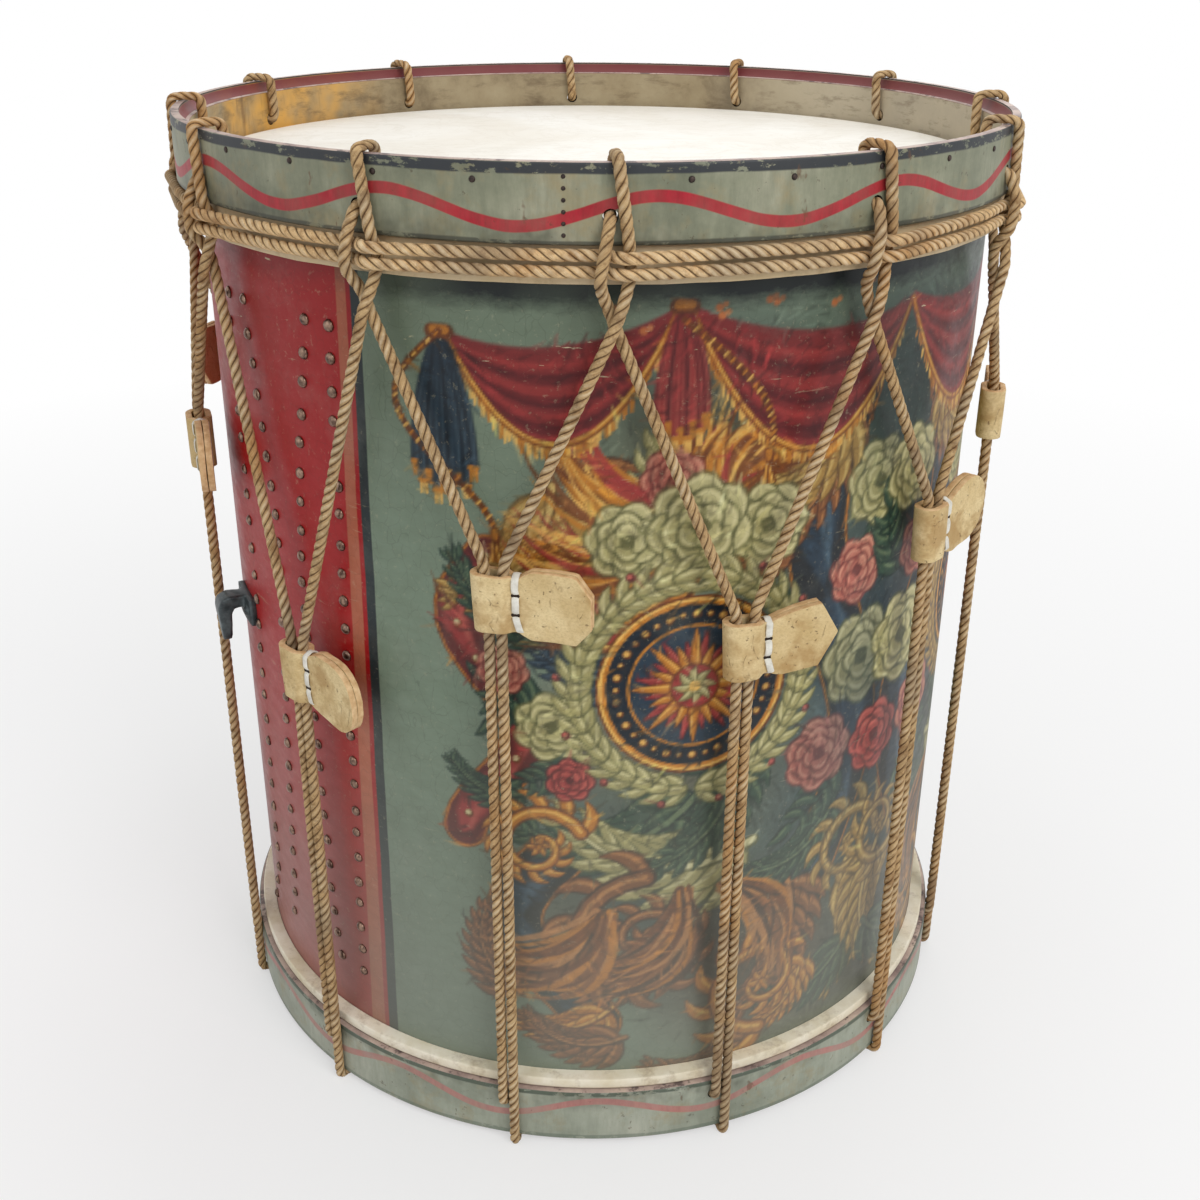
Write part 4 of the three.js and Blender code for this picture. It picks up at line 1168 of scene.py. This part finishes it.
def medallion(canvas, at, radius):
    """A dark disc in gold rings, with a star of rays on a red flower."""
    for reach, tone in ((1.0, GOLD[0]), (0.97, GOLD[2]), (0.94, GOLD[1]), (0.9, NAVY[0]),
                        (0.69, GOLD[1]), (0.66, NAVY[1])):
        canvas.spot(at, radius * reach, tone, soft=1.2, cover=1)
    for i in range(36):
        pearl = out_from(at, radius * 0.795, TURN * i / 36)
        canvas.bead(pearl, 2.4 + i % 2, GOLD[0], (-0.5, 0.6), 1.4 + 0.8 * (i % 2), GOLD[2])
    for half, reaches, tones in ((0.5, (0.5, 0.6), CRIMSON), (0, (0.63, 0.48), GOLD)):
        for i in range(16):
            tip = out_from(at, radius * reaches[i % 2], TURN * (i + half) / 16)
            canvas.blade(at, tip, 0.0, radius * 0.06, tones)
    canvas.spot(at, radius * 0.26, GOLD[0])
    canvas.spot(at, radius * 0.235, CRIMSON[1])
    for i in range(8):
        canvas.blade(at, out_from(at, radius * 0.21, TURN * i / 8), 0.1, radius * 0.045, CREAM)
    canvas.spot(at, radius * 0.06, GOLD[2])


def wreath(canvas, at, radius, tones):
    """Laurel that climbs from the foot on both sides, with berries."""
    for hand in (1, -1):
        for i in range(19):
            angle = -math.pi / 2 + hand * math.pi * (i + 0.4) / 19.5
            stalk = out_from(at, radius, angle)
            for mark in (1, -1, 0):
                tip = out_from(stalk, radius * 0.26, angle + hand * (math.pi / 2 - 0.1 - mark * 0.62))
                canvas.blade(stalk, tip, -hand * mark * 0.12, radius * 0.052, tones)
            if i % 3 == 1:
                berry = out_from(stalk, radius * 0.16, angle)
                canvas.bead(berry, 3.2, CRIMSON[0], (-0.7, 0.7), 1.8, CRIMSON[2])


def ribbon(canvas, line, half, tones, pearls=False):
    line = np.asarray(line, float)
    for more, tone in ((2.4, GOLD[0]), (1.4, GOLD[1]), (0, tones[0])):
        canvas.stroke(line, half + more, tone)
    shine = np.abs(np.sin(np.linspace(0, 9, len(line)))) * half
    canvas.stroke(line, shine * 0.8, tones[1], soft=5)
    canvas.stroke(line + (half * 0.3, 0), shine * 0.25, tones[2], soft=4, cover=0.6)
    if pearls:
        for at in line[::2]:
            canvas.bead(at, 3.4, GOLD[0], (-0.6, 0.8), 2.2, CREAM[2])


def on_shell(x, z):
    return np.array((DESIGN_MIDDLE + x * DESIGN_SCALE, DESIGN_FOOT + (z - DESIGN_FOOT) * DESIGN_SCALE))


def paint_half(canvas, hand):
    """One half of the design, to the left of its middle line for hand 1 and mirrored for -1."""

    def at(x, z):
        return on_shell(hand * x, z)

    def leaning(angle):
        return angle if hand > 0 else math.pi - angle

    for x, z, wide, tone, cover in (
        (-20, 330, 120, NAVY[1], 0.6), (-120, 150, 90, BROWN[0], 0.6), (-230, 470, 50, NAVY[2], 0.3),
        (-40, 560, 110, LEAF[0], 0.5), (-150, 330, 90, BROWN[0], 0.45), (-60, 110, 90, BROWN[0], 0.5),
        (-250, 340, 50, CRIMSON[0], 0.4), (-150, 520, 90, OCHRE[0], 0.5), (-240, 180, 60, BROWN[0], 0.4),
    ):
        canvas.spot(at(x, z), wide * 0.6, tone, soft=wide, cover=cover)
    ribbon(canvas, [at(-50 - 24 * math.sin(i / 3.2), 570 - 17 * i) for i in range(24)], 24, NAVY)
    ribbon(canvas, [at(-292 - 22 * math.sin(i / 2.2), 470 - 12 * i) for i in range(18)], 15, CRIMSON, True)
    ribbon(canvas, [at(-250 - 30 * math.sin(i / 2.6), 250 - 13 * i) for i in range(12)], 20, NAVY)
    for x, z, angle, length, tones in (
        (-150, 300, 3.4, 130, LEAF), (-130, 400, 2.5, 105, OCHRE), (-160, 190, 3.7, 105, BROWN),
        (-80, 210, 4.4, 120, BROWN), (-110, 250, 2.9, 150, CREAM), (-90, 480, 2.9, 90, BROWN),
        (-20, 200, 4.6, 120, OCHRE), (-180, 400, 3.0, 90, NAVY), (-210, 120, 3.3, 80, GOLD),
        (-250, 520, 4.0, 110, OCHRE), (-236, 530, 5.1, 90, BROWN), (-70, 575, 4.4, 110, BROWN),
        (-50, 555, 3.6, 100, OCHRE), (-130, 330, 4.2, 110, LEAF), (-250, 430, 2.6, 80, LEAF),
        (-268, 300, 2.8, 60, LEAF), (-40, 260, 3.6, 90, LEAF), (-200, 92, 2.9, 80, BROWN),
        (-100, 76, 3.3, 90, BROWN), (-276, 130, 1.9, 80, BROWN), (-10, 130, 3.4, 100, LEAF),
        (-150, 470, 1.9, 100, CREAM), (-150, 470, 1.2, 100, CREAM), (-60, 130, 4.0, 70, GOLD),
    ):
        spine = bowed(at(x, z), out_from(at(x, z), length, leaning(angle)), hand * 0.2)
        acanthus(canvas, spine, length * 0.3, tones)
    scroll(canvas, at(-188, 178), 58, math.pi / 2, 1.4, hand, 38, BROWN)
    scroll(canvas, at(-96, 122), 46, -math.pi / 2, 1.3, -hand, 34, GOLD)
    scroll(canvas, at(-262, 258), 34, leaning(0.4), 1.2, hand, 26, GOLD)
    scroll(canvas, at(-20, 214), 38, 0, 1.3, hand, 30, OCHRE)
    for x, z, dx, dz in (
        (-165, 505, -80, 46), (-150, 500, 70, 44), (-175, 480, -96, 4), (-140, 490, -10, 70),
        (-160, 470, -100, -40), (-160, 215, -50, -70), (-130, 215, 40, -80), (-215, 200, -70, -50),
    ):
        tones = [*GOLD, BROWN[1], CRIMSON[1]] if z > 300 else [*BROWN, GOLD[1], GOLD[0]]
        canvas.locks(at(x, z), at(x + dx, z + dz), hand * 0.22, 15, 50, 2.6, tones)
    for x, z, angle, length in (
        (-60, 380, 2.2, 80), (-36, 300, 3.9, 76), (-90, 330, 3.3, 70), (-20, 420, 1.2, 76),
        (-250, 360, 2.6, 60), (-270, 400, 4.2, 60), (-235, 330, 3.6, 52),
    ):
        spray(canvas, at(x, z), leaning(angle), length, LEAF)
    for x, z, radius, tones in (
        (-24, 372, 36, CREAM), (-58, 306, 29, PINK), (-252, 352, 25, CREAM), (-284, 392, 17, PINK),
        (-36, 440, 24, PINK), (-240, 312, 16, CRIMSON), (-20, 500, 30, CREAM), (-204, 484, 26, CREAM),
        (-112, 488, 28, CREAM), (-176, 524, 20, PINK), (-158, 492, 34, CREAM),
    ):
        rose(canvas, at(x, z), radius, tones)
    swag(canvas, at(-318, 612), at(-172, 630), 20, 56, CRIMSON)
    swag(canvas, at(-172, 630), at(0, 618), 22, 70, CRIMSON)
    fall(canvas, at(-318, 612), 100, 46, NAVY)
    fall(canvas, at(-172, 630), 80, 36, CRIMSON)
    cord(canvas, [at(-318 - 32 * math.sin(i / 3), 612 - 9 * i) for i in range(15)])
    cord(canvas, [at(-172 + 60 * math.sin(i / 6), 622 - 8 * i) for i in range(12)])


def paint_design():
    canvas = Canvas(arc_of(DESIGN_FROM), arc_of(DESIGN_TO), SHELL_FOOT, SHELL_TOP - SHELL_EDGE, GROUND_SCREEN)
    for x, z in ((-215, 250), (-150, 180), (-150, 560), (-70, 420), (-70, 240)):
        canvas.spot(on_shell(x, z), 55, NAVY[0], soft=75, cover=0.5)
    for x in (-5, 60, 125, 190):
        for z in range(120, 620, 90):
            canvas.spot(on_shell(x, z), 50, NAVY[0], soft=60, cover=0.55)
    for hand in (1, -1):
        paint_half(canvas, hand)
    rose(canvas, on_shell(0, 300), 28, CRIMSON)
    for hand, tones in ((1, CREAM), (-1, OCHRE)):
        wreath(canvas, on_shell(-hand * 158, 380), 84, tones)
        medallion(canvas, on_shell(-hand * 158, 380), 70)
    canvas.dab(DABS)
    for x, z in CHIPS:
        canvas.spot((x, z), 2.6, (190, 112, 66), soft=1.6, cover=0.95)
        canvas.spot((x + 4, z + 2), 2.0, (196, 128, 82), soft=1.4, cover=0.9)
    return canvas


# Shell

SHELL_WALL = 8
PAINT_PROUD = 0.15


def set_paint(obj, colours):
    layer = obj.data.color_attributes.new("paint", "FLOAT_COLOR", "POINT")
    full = np.ones((len(obj.data.vertices), 4), np.float32)
    full[:, :3] = (np.asarray(colours) / 255) ** 2.2
    layer.data.foreach_set("color", full.ravel())


def make_shell():
    inside = SHELL_R - SHELL_WALL
    wall = [(SHELL_R, z) for z in np.linspace(SHELL_FOOT, SHELL_TOP - SHELL_EDGE, 12)]
    rest = [(SHELL_R - SHELL_EASE, SHELL_TOP - SHELL_EASE), (SHELL_R - SHELL_EDGE, SHELL_TOP),
            (inside, SHELL_TOP), (inside, SHELL_FOOT), (SHELL_R - SHELL_EDGE, SHELL_FOOT)]
    shell = lathe("painted_shell", wall + rest, ROUND, [MATERIALS["shell"], MATERIALS["wood"]])
    for polygon in shell.data.polygons:
        polygon.material_index = 0 if far_out(polygon) > SHELL_R - 1 else 1
    set_paint(shell, GROUND_SCREEN)
    split_sharp(shell, 40)
    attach(shell, "drum")
    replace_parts(shell, "shell")
    make_panels(paint_design())


def make_panels(canvas):
    """The painted figures, as a thin coat on the shell in a few pieces side by side."""
    for i, columns in enumerate(np.array_split(np.arange(len(canvas.x) - 1), PANELS)):
        across = slice(columns[0], columns[-1] + 2)
        turn, up = np.meshgrid(canvas.x[across] / SHELL_R, canvas.z)
        radius = SHELL_R + PAINT_PROUD
        verts = np.stack([radius * np.sin(turn), -radius * np.cos(turn), up], axis=-1).reshape(-1, 3) * MM
        panel = mesh_object(f"painted_panel_{i + 1}", verts, grid_faces(*turn.shape), [MATERIALS["shell"]])
        set_paint(panel, canvas.colour[:, across].reshape(-1, 3))
        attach(panel, "drum")


# Each column of tacks, as (height, angle) where it bends
TACK_COLUMNS = (
    ((97, -37.9), (210, -37.2), (460, -35.9), (644, -35.0)),
    ((97, -42.7), (168, -44.0), (446, -44.7), (554, -42.3), (577, -41.4), (644, -39.2)),
    ((92, -58.3), (138, -56.4), (436, -50.5), (487, -50.0), (532, -51.2), (575, -52.2), (643, -53.7)),
    ((70, -71.6), (130, -64.6), (416, -60.4), (622, -59.7), (645, -59.0)),
)
TACK_TOP = 644
TACK_STEP = 22.3
TACK_SIZE = 4.4
TACK_STRAY, TACK_STRAY_ASIDE = 1.5, 0.15
TACK_RINGS = ((1.0, 0.0), (0.9, 0.28), (0.6, 0.52), (0.22, 0.64))


def make_tacks():
    """Domed tacks down the shell's lap joint."""
    rng = random.Random(11)
    places = []
    for column in TACK_COLUMNS:
        heights, angles = zip(*column)
        for z in np.arange(TACK_TOP, heights[0] - 1, -TACK_STEP):
            up = z + rng.uniform(-TACK_STRAY, TACK_STRAY)
            angle = np.interp(up, heights, angles) + rng.uniform(-TACK_STRAY_ASIDE, TACK_STRAY_ASIDE)
            places.append((SHELL_R, math.radians(angle), up, TACK_SIZE * rng.uniform(0.92, 1.05)))
    domes("lap_tacks", places, TACK_RINGS, MATERIALS["tack"])


# Tugs

# Each tug's tab: the form of its tip, and its lean in degrees
TAB_STYLES = ("round", "pointed", "cropped", "round", "round", "cropped",
              "pointed", "round", "cropped", "round", "pointed", "cropped")
TAB_LEANS = (4, -5, 3, -3, -9, -2, 7, 9, -4, 5, -6, 2)
# Each form's outline, in shares of the tab's length and height
TIP_SHARES = {
    "cropped": ((0.16, 1), (0.78, 1), (1, 0.45)),
    "pointed": ((0.16, 0.92), (0.74, 0.96), (1, 0.04)),
    "round": ((0.2, 0.98), (0.5, 1.02), (0.66, 1), (0.8, 0.88), (0.9, 0.7), (0.97, 0.45), (1, 0.2)),
}
TUG_TIP = TUG_LENGTH - (MOUTH_HALF + ROPE / 2 + BORE_EASE + LEATHER)
TUG_ROWS = 13
LEATHER_SHARE = 0.94  # of the solid's thickness, beside the relief
PLY_MIDDLE = (PLY_GAP + LEATHER) / 2
TAB_CURL, CURL_START, CURL_REACH = 2.0, 30, 40
EDGE_WAVE, DENT = 0.5, 0.25
LEATHER_BEVEL = 0.9


def tug_line(half):
    """The middle of the leather, from the inner ply's tip round the fold to the outer ply's, in plan."""
    bore = ROPE / 2 + BORE_EASE + LEATHER / 2
    close = LACE_PLACE - LACE_WIDTH / 2 - BORE_EASE
    shares = np.linspace(0, 1, 9)
    ease = shares * shares * (3 - 2 * shares)
    ply = [(half + (close - half) * s, bore + (PLY_MIDDLE - bore) * e) for s, e in zip(shares, ease)]
    ply += [(x, PLY_MIDDLE) for x in np.linspace(close, TUG_TIP, 22)[1:]]
    fold = [(-half - bore * math.sin(a), bore * math.cos(a)) for a in np.linspace(0, math.pi, 15)]
    return ply[::-1] + fold + [(x, -y) for x, y in ply]


def tab_edges(style, lean, x):
    """Lowest and highest z of the leather at x."""
    lace_right = LACE_PLACE + LACE_WIDTH / 2 + BORE_EASE
    height = TUG_HEIGHT / 2 - 1.2 * math.exp(-((x - LACE_PLACE) / 3.2) ** 2)
    if x <= lace_right:
        return -height, height
    share = (x - lace_right) / (TUG_TIP - lace_right)
    places = [0.0, *[place for place, _ in TIP_SHARES[style]]]
    half = np.interp(share, places, [height, *[rise * TAB_HEIGHT / 2 for _, rise in TIP_SHARES[style]]])
    centre = (x - lace_right) * math.tan(math.radians(lean)) * min(1.0, share * 3)
    return centre - half, centre + half


def settle_on_tug(obj, k, replaced):
    """Moves a piece drawn at the front to its tug's place and hangs it there."""
    there = Matrix.Translation(Vector((0, -STRAND_R, tug_height(k))) * MM)
    obj.data.transform(Matrix.Rotation(tug_angle(k), 4, "Z") @ there)
    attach(obj, f"tug_{k + 1:02d}")
    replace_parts(obj, f"{replaced}_{k + 1:02d}")


def make_tug(k):
    rng = random.Random(40 + k)
    waves = [rng.uniform(0, TURN) for _ in range(4)]
    line = tug_line((PAIR_HALF + MOUTH_HALF) / 2)
    verts = []
    for x, y in line:
        low, high = tab_edges(TAB_STYLES[k], TAB_LEANS[k], x)
        low += EDGE_WAVE * math.sin(x / 7 + waves[0])
        high += EDGE_WAVE * math.sin(x / 9 + waves[1])
        for j in range(TUG_ROWS):
            z = low + (high - low) * j / (TUG_ROWS - 1)
            spread = (z / TUG_HEIGHT) * (MOUTH_HALF - PAIR_HALF) if x < 0 else 0
            curl = -TAB_CURL * max(0.0, (x - CURL_START) / CURL_REACH) ** 2
            outside = y < -PLY_MIDDLE / 2
            dent = DENT * math.sin(x / 6 + waves[2]) * math.sin(z / 8 + waves[3]) if outside else 0
            verts.append(Vector((x - spread, y + curl + dent, z)) * MM)
    faces = grid_faces(len(line), TUG_ROWS)
    obj = mesh_object(f"tug_{k + 1:02d}_leather", verts, faces, [MATERIALS["leather"], MATERIALS["cut"]])
    modify(obj, "thickness", "SOLIDIFY", thickness=LEATHER * MM * LEATHER_SHARE, offset=0,
           material_offset_rim=1)
    modify(obj, "edge", "BEVEL", width=LEATHER_BEVEL * MM, segments=2, limit_method="ANGLE",
           angle_limit=math.radians(50))
    apply_modifiers(obj)
    settle_on_tug(obj, k, "leather_tug")


THONG_HALVES = (2.6, 0.65)
THONG_HOLE = 7.0
THONG_SUNK = 2.6
THONG_SLANT = 3.0
THONG_MOUTH = (3.2, 1.8)


def thong_stops():
    """Round a tug's tab: down its face through two holes, slanting to its lower edge, and up its back."""
    face = PLY_GAP / 2 + LEATHER + THONG_HALVES[1] + 0.1
    sunk = face - THONG_SUNK
    half = TUG_HEIGHT / 2
    hole = THONG_HOLE
    front = [(0, -face, half - 2), (-0.3, -face, 12), (0, -face, hole + 2.6), (0, -sunk, hole),
             (0, -face, hole - 2.4), (0.3, -face - 0.2, 0), (0, -face, 2.4 - hole), (0, -sunk, -hole),
             (0.4, -face, -hole - 2.6), (THONG_SLANT, -face, 2 - half)]
    back = [(THONG_SLANT, 0, -half - 1), (THONG_SLANT / 2, face, 2 - half), (0, face, 0), (0, face, half - 2),
            (0, 0, half + 1)]
    return np.array(front + back)


def make_thong(k):
    """A flat white thong, and dark discs of painted shade at the mouths of its two holes."""
    stops = thong_stops()
    line = resample(np.concatenate([stops, stops[:1]]), 1.0)[0][:-1]
    for _ in range(2):
        line = (np.roll(line, 1, axis=0) + 2 * line + np.roll(line, -1, axis=0)) / 4
    ways = np.roll(line, -1, axis=0) - np.roll(line, 1, axis=0)
    ways /= np.linalg.norm(ways, axis=1)[:, None]
    sides = np.cross(ways, np.cross((1.0, 0.0, 0.0), ways))
    others = np.cross(ways, sides)
    turns = TURN * np.arange(10) / 10
    wide, thick = THONG_HALVES
    ring = (wide * np.cos(turns))[None, :, None] * sides[:, None, :]
    ring = ring + (thick * np.sin(turns))[None, :, None] * others[:, None, :]
    verts = list(((line[:, None, :] + ring).reshape(-1, 3) + (LACE_PLACE, 0, 0)) * MM)
    faces = grid_faces(len(line), len(turns), closed_rows=True, closed_columns=True)
    mouth_y = -(PLY_MIDDLE + LEATHER * LEATHER_SHARE / 2 + 0.1)
    across, up = THONG_MOUTH
    # Painted shade: a dark disc at each hole's mouth.
    for z in (THONG_HOLE, -THONG_HOLE):
        faces.append(tuple(range(len(verts), len(verts) + len(turns))))
        verts += [np.array((LACE_PLACE + across * math.cos(a), mouth_y, z + up * math.sin(a))) * MM
                  for a in turns]
    obj = mesh_object(f"tug_{k + 1:02d}_thong", verts, faces, [MATERIALS["lace"], MATERIALS["hole"]])
    for polygon in obj.data.polygons[-2:]:
        polygon.material_index = 1
    settle_on_tug(obj, k, "tug_lace")


# Camera, lamps and floor

PICTURE = 1200
FOCAL_PIXELS = 1459.8
CAMERA_BACK = 3.7207 * HOOP_R
CAMERA_HEIGHT = RIM + 0.4026 * HOOP_R
CAMERA_PITCH, CAMERA_YAW, CAMERA_ROLL = 0.43811, 0.00401, 0.00388
SENSOR = 36.0


def make_camera():
    data = bpy.data.cameras.new("camera")
    data.sensor_width = SENSOR
    data.lens = SENSOR * FOCAL_PIXELS / PICTURE
    camera = placed("camera", data)
    cos_p, sin_p = math.cos(CAMERA_PITCH), math.sin(CAMERA_PITCH)
    ahead, right, up = Vector((0, cos_p, -sin_p)), Vector((1, 0, 0)), Vector((0, sin_p, cos_p))
    cos_y, sin_y = math.cos(CAMERA_YAW), math.sin(CAMERA_YAW)
    ahead, right = cos_y * ahead + sin_y * right, cos_y * right - sin_y * ahead
    cos_r, sin_r = math.cos(CAMERA_ROLL), math.sin(CAMERA_ROLL)
    right, up = cos_r * right + sin_r * up, cos_r * up - sin_r * right
    camera.matrix_world = Matrix((
        (right.x, up.x, -ahead.x, 0),
        (right.y, up.y, -ahead.y, -CAMERA_BACK * MM),
        (right.z, up.z, -ahead.z, CAMERA_HEIGHT * MM),
        (0, 0, 0, 1),
    ))
    bpy.context.scene.camera = camera


LIT_PLACE = (0, 0, 0.4)
EVEN_LIGHT = 0.55


def lamp(name, place, size, power):
    data = bpy.data.lights.new(name, "AREA")
    data.size = size
    data.energy = power
    obj = placed(name, data)
    obj.location = place
    obj.rotation_euler = (Vector(LIT_PLACE) - Vector(place)).to_track_quat("-Z", "Y").to_euler()


def make_world():
    """Even light, and white where the camera or a reflection sees past the floor."""
    scene = bpy.context.scene
    scene.view_settings.view_transform = "Standard"
    scene.world = bpy.data.worlds.new("studio")
    scene.world.use_nodes = True
    tree = scene.world.node_tree
    path = tree.nodes.new("ShaderNodeLightPath")
    seen = path.outputs["Is Camera Ray"]
    for output in ("Is Glossy Ray", "Is Transmission Ray"):
        either = tree.nodes.new("ShaderNodeMath")
        either.operation = "MAXIMUM"
        tree.links.new(seen, either.inputs[0])
        tree.links.new(path.outputs[output], either.inputs[1])
        seen = either.outputs[0]
    strength = tree.nodes.new("ShaderNodeMapRange")
    strength.inputs["To Min"].default_value = EVEN_LIGHT
    tree.links.new(seen, strength.inputs["Value"])
    background = tree.nodes["Background"]
    background.inputs["Color"].default_value = (1, 1, 1, 1)
    tree.links.new(strength.outputs["Result"], background.inputs["Strength"])


FLOOR_REACH, FLOOR_FADE = 12.0, 4.0


def make_floor():
    """A pale floor that keeps the drum's shadow and passes into the white beyond it."""
    corners = [(x * FLOOR_REACH, y * FLOOR_REACH, 0) for x, y in ((-1, -1), (1, -1), (1, 1), (-1, 1))]
    n = Nodes("pale floor")
    n.colour = (0.84, 0.84, 0.84)
    n.finish(0.9, Specular_IOR_Level=0.1)
    length = n.add("VectorMath", operation="LENGTH")
    n.link(n.place, length.inputs[0])
    far = n.ramp(n.math("DIVIDE", length.outputs["Value"], FLOOR_FADE), [(0.12, 0.5), (0.5, 1.0)])
    path = n.add("LightPath")
    seen = n.math("MAXIMUM", path.outputs["Is Camera Ray"], path.outputs["Is Glossy Ray"])
    mixer = n.add("MixShader")
    outputs = (n.times(seen, far), n.shader.outputs[0], n.add("Emission").outputs[0])
    for slot, output in zip(mixer.inputs, outputs):
        n.link(output, slot)
    n.link(mixer.outputs[0], n.tree.nodes["Material Output"].inputs["Surface"])
    floor = mesh_object("floor", corners, [(0, 1, 2, 3)], [n.material])


def make_lamps():
    lamp("key", (1.5, -2.3, 2.6), 1.6, 46)
    lamp("fill", (-2.4, -1.8, 1.8), 2.2, 9)
    lamp("top", (0.2, 0.4, 3.0), 1.6, 16)
    lamp("back", (0.6, 2.6, 1.8), 2.0, 14)


# Pieces that keep their solid's mesh, though the hook's is worked over

FORGED_SWELL, FORGED_VOXEL = 2.2, 1.2
KEPT = {
    "lower_lining_hoop": "wood", "upper_lining_hoop": "wood",
    "upper_flesh_hoop": "wood", "lower_flesh_hoop": "wood",
    "sling_hook": "iron", "hook_rivet_01": "iron", "hook_rivet_02": "iron", "vent_bush": "brass",
}


def forged(obj):
    """A stouter form of the solid, its edges rounded as under a hammer."""
    modify(obj, "weld", "WELD", merge_threshold=0.01 * MM)
    modify(obj, "swell", "DISPLACE", strength=FORGED_SWELL * MM, mid_level=0)
    modify(obj, "remesh", "REMESH", mode="VOXEL", voxel_size=FORGED_VOXEL * MM, use_smooth_shade=True)
    modify(obj, "smooth", "SMOOTH", iterations=8)


def dress_solids():
    for name, key in KEPT.items():
        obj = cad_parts[name]
        obj.data.materials.clear()
        obj.data.materials.append(MATERIALS[key])
    forged(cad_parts["sling_hook"])


make_camera()
make_world()
make_floor()
make_lamps()
make_ropes()
make_hoop("upper", RIM, -1, top_angle, TOP_HOLE_ASIDE, UPPER_HOLE_Z)
make_hoop("lower", FOOT, 1, tug_angle, -PAIR_HALF, LOWER_HOLE_Z)
make_nails()
make_head("upper", RIM, -1)
make_head("lower", FOOT, 1)
make_shell()
make_tacks()
for tug in range(ROPE_COUNT):
    make_tug(tug)
    make_thong(tug)
dress_solids()
